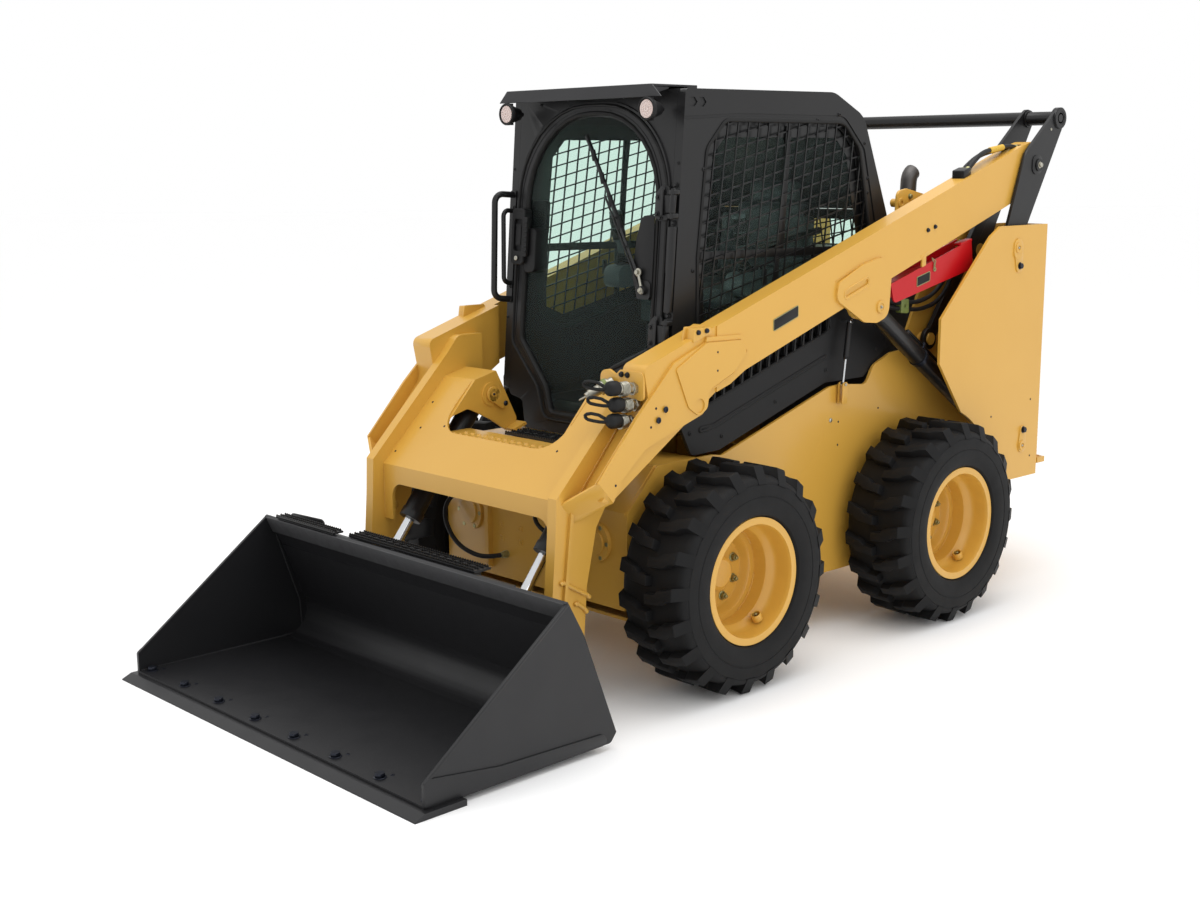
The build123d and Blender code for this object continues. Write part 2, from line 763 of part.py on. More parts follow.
def make_guard():
    """The window guard of the left side: rods in two crossing layers, both a little off level."""
    rods = mesh_rods(WINDOW, CAB_HALF - 12, 12, 45, 5)
    rods += mesh_rods(WINDOW, CAB_HALF - 6.5, 82, 56, 5)
    return Compound(children=rods)


def make_guard_rear():
    """The guard over the rear window."""
    reach = CAB_HALF - CAB_WALL - 71
    rods = []
    area = box(-reach, reach, 1180, 1186, 1300, 1600)
    for layer, slope in ((0, -10), (6, -100)):
        for index in range(-9, 10):
            bar = Pos(0, 1183 + layer, 1450) * Rot(0, slope, 0) * Pos(0, 0, index * 52) * Box(1200, 5, 5)
            clip = Pos(0, layer, 0) * area
            got = bar & clip
            if got:
                rods += got.solids()
    return Compound(children=rods)


def make_side_glass():
    """Side and rear panes, inside the guards."""
    pane = plate(WINDOW, CAB_HALF - 30, CAB_HALF - 25)
    reach = CAB_HALF - CAB_WALL - 71
    rear = box(-reach, reach, 1194, 1199, 1300.5, 1599.5)
    return Compound(children=[*both(pane).solids(), rear])


def make_seat():
    """A suspension seat: base, bolstered cushion, bolstered back and head bolster."""
    base = box(-200, 200, 600, 960, 1181, 1260)
    cushion = [(540, 1259, 30), (540, 1335, 30), (600, 1350, 40), (980, 1330), (1000, 1259)]
    seat = base + plate(cushion, -170, 170)
    bolster = [(560, 1259, 30), (560, 1352, 36), (640, 1372, 40), (980, 1358), (1000, 1259)]
    back = [(930, 1320), (1080, 1331, 20), (1108, 1640, 50), (1040, 1690, 40), (975, 1500, 60)]
    wing = [(900, 1345, 20), (1080, 1345, 20), (1104, 1600, 50), (1016, 1640, 40), (942, 1480, 60)]
    head = [(1014, 1650, 20), (1084, 1645, 20), (1096, 1748, 34), (1036, 1764, 30)]
    seat += plate(back, -170, 170) + plate(head, -130, 130)
    side = plate(bolster, 169, 235) + plate(wing, 169, 225)
    return seat + side + right(side)


def make_pods():
    """Armrest pods with the two control levers."""
    pod = plate([(430, 1330, 30), (430, 1420, 40), (900, 1450, 40), (900, 1370, 30)], 285, 375)
    pod += box(290, 370, 640, 860, 1180.5, 1371)
    lever = rod((330, 500, 1420), (330, 470, 1550), 13)
    grip = rod((330, 478, 1520), (330, 455, 1640), 26)
    return both(pod + lever + grip)


def make_lap_bar():
    """The lap bar, parked across the operator's place."""
    half = [(200, 560, 1480), (270, 640, 1500), (270, 1010, 1560)]
    points = [(-x, y, z) for x, y, z in reversed(half)] + half
    return tube_path(points, 40, 14)


def make_lamps():
    """Work lamps in conical housings under the visor, and lamps on the tower backs."""
    lamps = []
    for side in (-1, 1):
        place = Pos(side * 373, -60, LAMP_HEIGHT) * Rot(90, 0, 0)
        lamp = place * extrude(Circle(38), amount=14)
        lamp += place * Pos(0, 0, -46) * Cone(22, 36, 46, align=(Align.CENTER, Align.CENTER, Align.MIN))
        lamp += place * Pos(0, 0, -8) * (Box(14, 80, 12) - Box(20, 60, 20))
        lamps.append(lamp)
        low, high = sorted((side * 560, side * 640))
        lamp = box(low, high, TOWER_REAR, TOWER_REAR + 14, 1300, 1440)
        for height in (1308, 1376):
            lamp -= box(low + 7, high - 7, TOWER_REAR + 8, TOWER_REAR + 20, height, height + 56)
        lamps.append(lamp)
    return Compound(children=lamps)


def make_handle():
    """The grab handle on the right front pillar: a long outer loop and a shorter one inside it."""
    handle = None
    for low, high, x, reach in ((1310, 1712, -447, 84), (1372, 1650, -430, 52)):
        points = [
            (-432, lean(low) - 4, low),
            (x, lean(low) - reach + 14, low + 8),
            (x, lean(high) - reach - 4, high + 6),
            (-432, lean(high) - 4, high),
        ]
        loop = tube_path(points, min(34, reach / 2 - 2), 12 if handle is None else 9)
        handle = loop if handle is None else handle + loop
    # One mounting plate joins both loops.
    pad = [(-452, 1296, 8), (-418, 1296, 8), (-418, 1728, 8), (-452, 1728, 8)]
    return handle + extrude(front_shift(pad, -0.2), amount=5)


def make_struts():
    """Gas struts that help the cab tilt for service, one on each side."""
    low, high = (520, 863, 976), (520, 898, 1221)
    middle = (520, 881, 1102)
    strut = rod(low, middle, 11) + rod(middle, high, 5)
    strut += pin(high[1:], 9, SKIRT_X + 0.2, 532) + pin(low[1:], 9, CHASSIS_X, 532)
    return both(strut)


# ---- cab door --------------------------------------------------------------------------------------


def make_door_frame():
    """The door's frame round its glass, a step at its outer edge, and the hinge arms."""
    frame = extrude(front_shift(DOOR, -4), amount=-24)
    frame -= extrude(front_shift(DOOR_GLASS, -10), amount=-60)
    step = extrude(front_shift(grown(DOOR, -14), -10), amount=-8)
    frame -= step - extrude(front_shift(grown(DOOR_GLASS, 10), -30), amount=-60)
    for height in HINGE_HEIGHTS:
        frame += box(374, HINGE_X, lean(height) - 20, lean(height) - 9, height - 30, height + 30)
        frame += box(374, 390, lean(height) - 12, lean(height) + 6, height - 30, height + 30)
        frame += hinge_knuckle(height, 30)
    return frame


def hinge_knuckle(height, half):
    """A knuckle on the leaning hinge axis."""
    low = (HINGE_X, lean(height - half) - HINGE_AHEAD, height - half)
    high = (HINGE_X, lean(height + half) - HINGE_AHEAD, height + half)
    return rod(low, high, 12)


def make_latch():
    """The door's latch housing with its inset pull and key barrel."""
    low, high = LATCH_LOW, LATCH_LOW + 210
    case = [(-392, low, 14), (-322, low, 14), (-322, high, 14), (-392, high, 14)]
    pull = [(-330, low + 30, 5), (-304, low + 30, 5), (-304, high - 30, 5), (-330, high - 30, 5)]
    dish = [(-380, low + 50, 8), (-334, low + 50, 8), (-334, high - 38, 8), (-380, high - 38, 8)]
    latch = extrude(front_shift(case, -4.5), amount=36)
    latch -= extrude(front_shift(dish, -28), amount=30)
    paddle = [(-374, low + 70, 6), (-340, low + 70, 6), (-340, high - 56, 6), (-374, high - 56, 6)]
    latch += extrude(front_shift(paddle, -26), amount=10)
    key = low + 24
    latch += rod((-357, lean(key) - 38, key), (-357, lean(key) - 46, key), 10)
    return latch + extrude(front_shift(pull, -30), amount=12)


def on_front(spot, ahead):
    """A point in space on the leaning cab front, from (x, height), some way ahead of it."""
    return (spot[0], lean(spot[1]) - ahead, spot[1])


def make_wiper():
    """The wiper: pivot and shielded motor on the hinge side, twin arms and a blade in its carrier."""
    foot, middle, tip = (318, 1385), (110, 1720), (-20, 1930)
    wiper = rod(on_front(foot, 4.5), on_front(foot, 34), 16)
    shield = [(282, 1352, 14), (350, 1352, 14), (350, 1418, 20), (282, 1418, 20)]
    wiper += extrude(front_shift(shield, -5), amount=16)
    wiper += rod(on_front(foot, 20), on_front(middle, 20), 6)
    wiper += rod(on_front((300, 1389), 20), on_front((94, 1716), 20), 4)
    return wiper + rod(on_front((192, 1588), 12), on_front(tip, 20), 7)


def make_door_glass():
    return extrude(front_shift(grown(DOOR_GLASS, -1.5), 4), amount=-6)


# ---- lift arm --------------------------------------------------------------------------------------


def make_arm():
    """Left arm: the beam, the knee with its overlay plates, the leg and the cylinder's gussets."""
    front = [(-352, arm_top(-352), 30), (-322, 1010, 60), (-548, 742), (-505, 734)]
    front += [(0, 1049), (0, arm_top(0))]
    rear = [
        (0, 1049),
        (0, arm_top(0)),
        (1890, arm_top(1890)),
        (2000, 1915, 60),
        (2075, 1800, 70),
        (1975, 1712, 60),
        (1814, arm_foot(1814), 60),
        (150, arm_foot(150), 60),
        (70, 1070, 40),
    ]
    arm = plate(rear, ARM_INNER_X, ARM_OUTER_X) + plate(front, LEG_OUTER_X - 2, KNEE_OUTER_X - KNEE_PLATE + 2)
    knee = [
        (-62, 1227),
        (-56, 1244),
        (122, 1240, 20),
        (152, 1224, 20),
        (163, 1182, 30),
        (83, 1102, 30),
        (-54, 1049, 30),
        (-65, 984, 30),
        (-206, 941),
        (-353, 894, 60),
        (-461, 806, 40),
        (-505, 734),
        (-571, 808),
        (-395, 1001),
        (-219, 1169),
    ]
    arm += plate(knee, KNEE_OUTER_X - KNEE_PLATE, KNEE_OUTER_X)
    leg = [
        (-294, 1116, 60),
        (-655, 750),
        (-661, 618),
        (-690, 250, 20),
        (-678, 170, 40),
        (-600, 128, 60),
        (-540, 190, 50),
        (-522, 433),
        (-476, 630),
        (-440, 683, 60),
        (-300, 860, 60),
        (-120, 960),
        (-120, 1180),
        (-240, 1180, 40),
    ]
    arm += plate(leg, LEG_INNER_X, LEG_OUTER_X)
    arm += loft_plate()
    arm += knee_plates()
    # The plates that carry the lift cylinder's rod eye.
    gusset = [
        (646, 1326, 40),
        (820, 1230, 60),
        (900, 1222, 60),
        (972, 1245, 50),
        (985, 1400, 40),
        (930, 1475, 50),
        (800, 1448, 60),
        (660, 1390, 40),
    ]
    arm += plate(gusset, ARM_OUTER_X - 1, ARM_OUTER_X + 10)
    recess = [(700, 1352, 8), (838, 1397, 8), (838, 1376, 8), (700, 1331, 8)]
    arm -= plate(recess, ARM_OUTER_X + 4, ARM_OUTER_X + 12)
    inner = [(846, 1400), (850, 1250, 60), (918, 1222, 60), (985, 1260, 60), (990, 1440)]
    arm += plate(inner, ARM_INNER_X - 20, ARM_INNER_X - 10)
    spacer = [(846, 1385), (846, 1400), (990, 1440), (990, 1410)]
    arm += plate(spacer, ARM_INNER_X - 11, ARM_INNER_X + 1)
    arm += pin(LIFT_EYE, PIN_RADIUS, ARM_OUTER_X + 1, ARM_OUTER_X + 14)
    arm -= pin(ARM_REAR_PIN, PIN_RADIUS + PIN_CLEARANCE, ARM_INNER_X - 40, ARM_OUTER_X + 40)
    arm += pin(CONTROL_HEAD, 16, CONTROL_X - CONTROL_THICK / 2 - 4, ARM_INNER_X + 1)
    # The coupler pin's hole through the leg.
    arm -= pin(COUPLER_PIN, PIN_RADIUS + PIN_CLEARANCE, LEG_INNER_X - 40, LEG_OUTER_X + 40)
    return arm


def knee_plates():
    """Welded plates of the knee: the lobed overlay, its hole, the hook at the top and the leg's rib."""
    overlay = [
        (-60, 1226, 14),
        (116, 1222, 16),
        (150, 1180, 24),
        (84, 1114, 30),
        (-46, 1062, 30),
        (-56, 1000, 26),
        (-96, 975, 30),
        (-150, 1010, 40),
        (-212, 1148, 10),
    ]
    plates = plate(overlay, KNEE_OUTER_X - 1, KNEE_OUTER_X + 5)
    plates -= pin((-96, 1012), 25, KNEE_OUTER_X - 6, KNEE_OUTER_X + 6)
    hook = [(-40, 1232), (-36, 1262, 10), (58, 1284, 10), (64, 1236)]
    plates += plate(hook, ARM_OUTER_X - 60, ARM_OUTER_X - 48)
    # A rib down the leg's outer face, and the tabs under the knee.
    rib = [(-600, 700), (-588, 690), (-634, 300), (-646, 302)]
    plates += plate(rib, LEG_OUTER_X - 1, LEG_OUTER_X + 12)
    for station, height in ((-212, 930), (-258, 900)):
        tab = [(station, height), (station + 22, height + 14), (station + 30, height - 34)]
        tab += [(station + 16, height - 42)]
        plates += plate(tab, LEG_OUTER_X - 1, LEG_OUTER_X + 26)
    return plates


def loft_plate():
    """The slanting plate that closes the knee's channel at its foot."""
    low = Plane.YZ.offset(LEG_OUTER_X - 1)
    high = Plane.YZ.offset(KNEE_OUTER_X - 1)
    near = low * make_face(Polyline((-634, 728), (-576, 658), (-566, 666), (-624, 738), close=True))
    far = high * make_face(Polyline((-571, 808), (-505, 734), (-497, 742), (-561, 816), close=True))
    return loft([near, far], ruled=True)


def slope_plane(x_dir=(1, 0, 0)):
    """The cross member's sloping face. Its local y runs up the slope from the lower bend."""
    rise = Vector(0, SHEET_TOP[0] - SHEET_BEND[0], SHEET_TOP[1] - SHEET_BEND[1]).normalized()
    return Plane(origin=(0, *SHEET_BEND), x_dir=x_dir, z_dir=Vector(1, 0, 0).cross(rise))


def make_cross_member():
    """The bent sheet between the legs, arched in the middle, with cheeks that hold the tilt cylinders."""
    reach = LEG_INNER_X
    slope = gap(SHEET_BEND, SHEET_TOP)
    face = slope_plane() * outline([(-reach, 0), (reach, 0), (reach, slope), (-reach, slope)])
    body = extrude(face, amount=-SHEET_THICK)
    notch_foot = (NOTCH_HEIGHT - SHEET_BEND[1]) * slope / (SHEET_TOP[1] - SHEET_BEND[1])
    notch = [
        (-NOTCH_HALF, notch_foot, 105),
        (NOTCH_HALF, notch_foot, 105),
        (NOTCH_HALF, slope + 90),
        (-NOTCH_HALF, slope + 90),
    ]
    body -= extrude(slope_plane() * outline(notch), amount=60, both=True)
    # The apron below the bend, with rounded corners where it runs down the legs.
    apron = [
        (-reach, APRON_FOOT),
        (-APRON_LEG, APRON_FOOT),
        (-APRON_LEG, APRON_LOW, 55),
        (APRON_LEG, APRON_LOW, 55),
        (APRON_LEG, APRON_FOOT),
        (reach, APRON_FOOT),
        (reach, SHEET_BEND[1]),
        (-reach, SHEET_BEND[1]),
    ]
    front = Plane(origin=(0, SHEET_BEND[0], 0), x_dir=(1, 0, 0), z_dir=(0, -1, 0))
    body += extrude(front * outline(apron), amount=-SHEET_THICK)
    # Top plates from the sheet's top edge back over the cylinders.
    top = [SHEET_TOP, (-203, 1056), (-203, 1046), (SHEET_TOP[0], SHEET_TOP[1] - 11)]
    lid = plate(top, NOTCH_HALF - CHEEK_THICK, reach)
    body += lid + right(lid)
    cheek = [
        SHEET_TOP,
        (-203, 1056),
        (-160, 975, 20),
        (-97, 850, 24),
        (-158, 822, 16),
        (-228, 868, 60),
        (-300, 905, 40),
        (-345, 925, 34),
        (-420, 905, 30),
        (-452, 872),
    ]
    outer_cheek = [SHEET_TOP, (-203, 1056), (-172, 985, 20), (-180, 905, 40), (-420, 905)]
    for side in (-1, 1):
        low, high = sorted((side * (NOTCH_HALF - CHEEK_THICK), side * NOTCH_HALF))
        body += plate(cheek, low, high)
        low, high = sorted((side * OUTER_CHEEK_X, side * (OUTER_CHEEK_X + CHEEK_THICK)))
        body += plate(outer_cheek, low, high)
        # The bent foot of the inner cheek, where it carries the step.
        low, high = sorted((side * (NOTCH_HALF - 60), side * NOTCH_HALF))
        body += plate([(-160, 830), (-98, 852), (-94, 842), (-156, 820)], low, high)
        # Fixed pins with their round bosses.
        pin_end = OUTER_CHEEK_X + CHEEK_THICK + 8
        low, high = sorted((side * (NOTCH_HALF - CHEEK_THICK - 12), side * pin_end))
        body += pin(TILT_TOP, PIN_RADIUS, low, high)
        low, high = sorted((side * (NOTCH_HALF - CHEEK_THICK - 6), side * NOTCH_HALF))
        body += pin(TILT_TOP, 46, low, high)
    # The step across the notch: a tread plate with rows of raised buttons, and its turned-down edge.
    tread = [(SHEET_BEND[0] + 118, 838), (-330, 838), (-330, 848), (SHEET_BEND[0] + 128, 848)]
    body += plate(tread, -NOTCH_HALF, NOTCH_HALF)
    for row in range(2):
        for column in range(15):
            x = -266 + column * 38 + row * 19
            button = Cone(9, 6, 5, align=(Align.CENTER, Align.CENTER, Align.MIN))
            body += Pos(x, -445 + row * 42, 848) * button
    return body


def make_brace():
    """The arm support brace, a channel stowed under the left arm, with its end pin and strap tab."""
    side = [(1005, 1363), (1550, 1474 + 40), (1567, 1395), (1500, 1382), (1030, 1287, 20)]
    brace = plate(side, 626, 632) + plate(side, 558, 564)
    web = [(1005, 1363), (1550, 1474), (1551, 1468), (1006, 1357)]
    return brace + plate(web, 563, 627)


def make_couplings():
    """Quick hydraulic couplings at the left knee, each with a body, a collar and a cap."""
    parts = []
    # (station of the root, height, station of the tip)
    for root, height, tip in ((-352, 1093, -458), (-340, 1037, -440), (-366, 984, -452)):
        third = (root - tip) / 3
        coupling = rod((590, root, height), (590, root - third, height + 3), 17)
        coupling += rod((590, root - third + 1, height + 3), (590, root - 2 * third, height + 6), 22)
        coupling += rod((590, root - 2 * third + 1, height + 6), (590, tip, height + 10), 19)
        nut = Plane(origin=(590, root, height), z_dir=(0, -1, 0)) * RegularPolygon(22, 6)
        parts.append(coupling + extrude(nut, amount=14))
    return Compound(children=parts)


# ---- links and cylinders ---------------------------------------------------------------------------


def make_rear_link():
    """Four upright plates joined by the cross tube, hinged low on the towers."""
    side = [
        (1806 - 58, 1500, 40),
        (1889, 1861, 80),
        (2094, 2004 + 20, 40),
        (2143, 2058, 40),
        (2196, 2010, 45),
        (1924, 1566, 60),
        (1866, 1440, 58),
        (1810, 1392, 58),
        (1752, 1440, 50),
    ]
    low = LINK_OUTER_X - LINK_PLATE
    link = plate(side, low, LINK_OUTER_X)
    link += plate(side, LINK_INNER_X, LINK_INNER_X + LINK_PLATE)
    link += pin(ARM_REAR_PIN, PIN_RADIUS, LINK_INNER_X, LINK_OUTER_X + 8)
    link += pin(LINK_TUBE, 45, LINK_OUTER_X - LINK_PLATE - 4, LINK_OUTER_X + 6)
    link -= pin(LINK_FOOT, 30 + PIN_CLEARANCE, LINK_INNER_X - 20, LINK_OUTER_X + 40)
    link += right(link)
    link += pin(LINK_TUBE, 29, -LINK_OUTER_X + 5, LINK_OUTER_X - 5)
    return link


def make_control_links():
    """A flat bar on each side from the tower to the arm."""
    low = CONTROL_X - CONTROL_THICK / 2
    high = CONTROL_X + CONTROL_THICK / 2
    along = Vector(*CONTROL_HEAD) - Vector(*CONTROL_FOOT)
    across = Vector(-along.Y, along.X).normalized() * 30
    foot, head = Vector(*CONTROL_FOOT), Vector(*CONTROL_HEAD)
    spots = [foot + across, head + across, head - across, foot - across]
    bar = plate([(spot.X, spot.Y) for spot in spots], low, high)
    bar += pin(CONTROL_FOOT, 44, low, high) + pin(CONTROL_HEAD, 46, low, high)
    bar -= pin(CONTROL_FOOT, PIN_RADIUS + PIN_CLEARANCE, low - 1, high + 1)
    bar -= pin(CONTROL_HEAD, 32, low - 1, high + 1)
    return both(bar)


def cylinder_frame(foot, eye, x):
    """A plane at a cylinder's foot pin with its normal along the rod."""
    along = Vector(0, eye[0] - foot[0], eye[1] - foot[1])
    return Plane(origin=(x, *foot), x_dir=(1, 0, 0), z_dir=along)


# Measured along each cylinder from its foot pin.
CYLINDER_BORE_START = 30
LIFT_ROD_START = 35
TILT_ROD_START = 110
PISTON_LENGTH = 30
GLAND = 34
LIFT_EYE_GAP = 44  # from the gland's face to the rod eye at rest
TILT_EYE_GAP = 227


def make_barrel(foot, eye, x, radius, rod_radius, eye_width, eye_gap):
    """A cylinder barrel with its foot eye."""
    frame = cylinder_frame(foot, eye, x)
    length = gap(foot, eye) - eye_gap
    barrel = frame * extrude(Circle(radius), amount=length)
    barrel += frame * Pos(0, 0, length - GLAND) * extrude(Circle(radius + 3), amount=GLAND)
    barrel -= pin(foot, radius + 4, x - radius - 10, x - eye_width / 2)
    barrel -= pin(foot, radius + 4, x + eye_width / 2, x + radius + 10)
    barrel += pin(foot, radius - 2, x - eye_width / 2, x + eye_width / 2)
    start = frame * Pos(0, 0, CYLINDER_BORE_START)
    barrel -= start * extrude(Circle(radius - 8), amount=length - GLAND - CYLINDER_BORE_START)
    barrel -= start * extrude(Circle(rod_radius + PIN_CLEARANCE), amount=length)
    barrel -= pin(foot, PIN_RADIUS + PIN_CLEARANCE, x - 60, x + 60)
    return barrel


def make_rod(foot, eye, x, radius, rod_radius, eye_width, eye_radius, start, piston):
    """A cylinder rod with its eye and, where its stroke leaves room, a piston."""
    frame = cylinder_frame(foot, eye, x)
    length = gap(foot, eye)
    bar = frame * Pos(0, 0, start) * extrude(Circle(rod_radius), amount=length - start)
    if piston:
        bar += frame * Pos(0, 0, start) * extrude(Circle(radius - 9), amount=PISTON_LENGTH)
    bar += pin(eye, eye_radius, x - eye_width / 2, x + eye_width / 2)
    return bar


# ---- coupler and bucket ----------------------------------------------------------------------------


def back_line(height, depth=0):
    """Station of the bucket's straight back at a height, moved rearward by a depth."""
    return BACK_FOOT[0] - (height - BACK_FOOT[1]) * BACK_SLOPE + depth


def make_coupler():
    """The quick coupler: a back plate, ears for the pins and the lever housings."""
    low, high = 150, 508
    near, far = COUPLER_GAP, COUPLER_GAP + COUPLER_PLATE
    back = [(back_line(low, near), low), (back_line(high, near), high)]
    back += [(back_line(high, far), high), (back_line(low, far), low)]
    coupler = plate(back, -COUPLER_HALF, COUPLER_HALF)
    window = box(TILT_X - 36, TILT_X + 36, -900, -700, 250, 450)
    coupler -= window + right(window)
    tilt_ear = [(back_line(170, near + 2), 170), (back_line(470, near + 2), 470), (-760, 440, 60)]
    eye_y, eye_z = TILT_EYE
    tilt_ear += [(eye_y + 20, eye_z + 50, 36), (eye_y + 42, eye_z - 20, 30), (-700, 170)]
    pin_ear = [(back_line(160, near + 2), 160), (back_line(330, near + 2), 330), (-640, 262, 50)]
    pin_ear += [(-560, 220, 40), (-578, 146, 40), (-640, 146, 40), (-700, 160)]
    for side in (-1, 1):
        for x, ear in ((TILT_X - 48, tilt_ear), (TILT_X + 36, tilt_ear), (462, pin_ear), (548, pin_ear)):
            low, high = sorted((side * x, side * (x + 12)))
            coupler += plate(ear, low, high)
        low, high = sorted((side * 462, side * 560))
        coupler += pin(COUPLER_PIN, PIN_RADIUS, low, high)
        low, high = sorted((side * (TILT_X - 48), side * (TILT_X - 23)))
        coupler += pin(TILT_EYE, 18, low, high)
        low, high = sorted((side * (TILT_X + 23), side * (TILT_X + 48)))
        coupler += pin(TILT_EYE, 18, low, high)
    return coupler


def make_bucket():
    """The bucket's shell: back with a flared lip, curved heel, floor and side plates."""
    low, high = EDGE_THICK, EDGE_THICK + BUCKET_SHEET
    corner = (back_line(low), low)
    outer = [
        (-1463, low),
        (*corner, HEEL_RADIUS),
        (back_line(400), 400, 60),
        (-900, 520),
        (-909, 515),
        (back_line(400, -BUCKET_SHEET - 1), 396, 52),
        (corner[0] - BUCKET_SHEET - 4, high, HEEL_RADIUS - BUCKET_SHEET),
        (-1463, high),
    ]
    shell = plate(outer, -BUCKET_HALF, BUCKET_HALF)
    side = [(-900, 518, 10), (-1463, 96, 10), (-1463, low + 1), (-722, low + 1, 20), (back_line(52), 52)]
    side += [(back_line(400), 400, 40)]
    wall = plate(side, BUCKET_HALF - BUCKET_SHEET, BUCKET_HALF)
    shell += wall + right(wall)
    for x in (-660, -220, 220, 660):
        shell += box(x - 50, x + 50, -1310, -960, 0, low + 1)
    return shell


def make_edge():
    """The bolted cutting edge."""
    section = [(-FRONT_REACH, 0), (-FRONT_REACH, 4), (-1478, EDGE_THICK), (-1325, EDGE_THICK), (-1325, 0)]
    return plate(section, -EDGE_HALF, EDGE_HALF)


def make_steps():
    """Serrated treads: one on the bucket's top edge, one on the coupler's."""
    first = box(-770, -389, -912, -866, 521, 528)
    for x in (-760, -668, -576):
        first += plate([(-893, 522), (-868, 522), (-838, 452), (-845, 430)], x, x + 6)
    second = box(-363, 357, -863, -791, 509, 517)
    rear = COUPLER_GAP + COUPLER_PLATE + 1
    for x in (-324, -6, 318):
        foot = [(back_line(508, rear), 510), (-800, 510), (-822, 452), (back_line(446, rear), 446)]
        second += plate(foot, x, x + 6)
    return Compound(children=[*first.solids(), *second.solids()])


# ---- everything by node ----------------------------------------------------------------------------


def build_nodes():
    nodes = {}
    tyre, rim = make_tyre(), make_rim()
    for name, side, station in (
        ("front_left", 1, 0),
        ("front_right", -1, 0),
        ("rear_left", 1, WHEELBASE),
        ("rear_right", -1, WHEELBASE),
    ):
        spot = Pos(side * WHEEL_X, station, AXLE_HEIGHT)
        nodes["tyre_" + name] = spot * (tyre if side > 0 else right(tyre))
        nodes["rim_" + name] = spot * (rim if side > 0 else right(rim))
    nodes["axle_housings"] = make_axles()
    nodes["chassis_frame"] = make_chassis()
    tower = make_tower()
    nodes["tower_left"] = tower
    nodes["tower_right"] = right(tower)
    nodes["engine_block"] = make_engine()
    nodes["hood"] = make_hood()
    nodes["rear_cowl"] = make_cowl()
    nodes["exhaust_stack"] = make_exhaust()
    nodes["rear_door"] = make_rear_door()
    nodes["side_skirts"] = make_skirts()
    side = make_cab_side()
    nodes["cab_side_left"] = side
    nodes["cab_side_right"] = right(side)
    nodes["cab_front_frame"] = make_cab_front()
    nodes["cab_floor"] = make_cab_floor()
    nodes["cab_rear_wall"] = make_cab_rear()
    nodes["cab_roof"] = make_cab_roof()
    guard = make_guard()
    nodes["guard_left"] = guard
    nodes["guard_right"] = right(guard)
    nodes["guard_rear"] = make_guard_rear()
    nodes["cab_glass"] = make_side_glass()
    nodes["seat"] = make_seat()
    nodes["control_pods"] = make_pods()
    nodes["lap_bar"] = make_lap_bar()
    nodes["work_lamps"] = make_lamps()
    nodes["grab_handle"] = make_handle()
    nodes["gas_struts"] = make_struts()
    nodes["door_frame"] = make_door_frame()
    nodes["door_glass"] = make_door_glass()
    nodes["door_latch"] = make_latch()
    nodes["wiper"] = make_wiper()
    arm = make_arm()
    nodes["arm_left"] = arm
    nodes["arm_right"] = right(arm)
    nodes["cross_member"] = make_cross_member()
    nodes["arm_brace"] = make_brace()
    nodes["hydraulic_couplings"] = make_couplings()
    nodes["rear_link"] = make_rear_link()
    nodes["control_links"] = make_control_links()
    lift = (LIFT_FOOT, LIFT_EYE, LIFT_X, LIFT_BARREL_RADIUS, LIFT_ROD_RADIUS, 60)
    tilt = (TILT_TOP, TILT_EYE, TILT_X, TILT_BARREL_RADIUS, TILT_ROD_RADIUS, 44)
    nodes["lift_barrels"] = both(make_barrel(*lift, LIFT_EYE_GAP))
    nodes["lift_rods"] = both(make_rod(*lift, 36, LIFT_ROD_START, False))
    nodes["tilt_barrels"] = both(make_barrel(*tilt, TILT_EYE_GAP))
    nodes["tilt_rods"] = both(make_rod(*tilt, 28, TILT_ROD_START, True))
    nodes["quick_coupler"] = make_coupler()
    nodes["bucket_shell"] = make_bucket()
    nodes["cutting_edge"] = make_edge()
    nodes["bucket_steps"] = make_steps()
    return nodes


os.makedirs("parts", exist_ok=True)
for node_name, node_shape in build_nodes().items():
    export_step(Pos(0, -ORIGIN_STATION, 0) * node_shape, f"parts/{node_name}.step")
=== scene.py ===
"""Looks of the skid steer loader: finishes for the CAD pieces, and the tyres, trim, glass, seat and small
hardware that the CAD leaves to this script. Everything is in metres in the CAD's frame: -Y forwards, +X to
the machine's left, Z up from the floor."""

import json
import math

import bmesh
import bpy
from mathutils import Matrix, Vector


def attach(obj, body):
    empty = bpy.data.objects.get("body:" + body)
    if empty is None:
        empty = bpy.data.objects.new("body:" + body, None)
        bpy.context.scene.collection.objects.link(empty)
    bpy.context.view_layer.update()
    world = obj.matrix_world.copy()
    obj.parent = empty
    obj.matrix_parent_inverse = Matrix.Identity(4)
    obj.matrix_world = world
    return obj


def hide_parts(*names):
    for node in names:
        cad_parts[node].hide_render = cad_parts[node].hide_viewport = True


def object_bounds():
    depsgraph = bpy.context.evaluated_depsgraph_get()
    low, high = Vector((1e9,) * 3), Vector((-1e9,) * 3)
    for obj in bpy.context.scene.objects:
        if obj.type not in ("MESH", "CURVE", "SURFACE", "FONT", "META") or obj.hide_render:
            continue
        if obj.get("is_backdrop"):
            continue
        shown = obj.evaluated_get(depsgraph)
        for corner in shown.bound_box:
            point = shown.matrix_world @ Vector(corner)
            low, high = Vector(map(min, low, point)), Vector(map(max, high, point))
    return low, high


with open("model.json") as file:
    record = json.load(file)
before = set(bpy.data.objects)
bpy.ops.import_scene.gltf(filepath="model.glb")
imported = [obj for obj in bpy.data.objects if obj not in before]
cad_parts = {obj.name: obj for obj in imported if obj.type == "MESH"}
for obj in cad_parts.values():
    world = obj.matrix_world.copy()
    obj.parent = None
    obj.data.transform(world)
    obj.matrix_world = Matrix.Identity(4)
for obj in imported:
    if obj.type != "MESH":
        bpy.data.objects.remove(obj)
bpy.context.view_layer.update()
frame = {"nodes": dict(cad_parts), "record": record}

MM = 0.001
FULL_TURN = 2 * math.pi
NO_GAP = 0.01 * MM  # metres, under which two corners are one

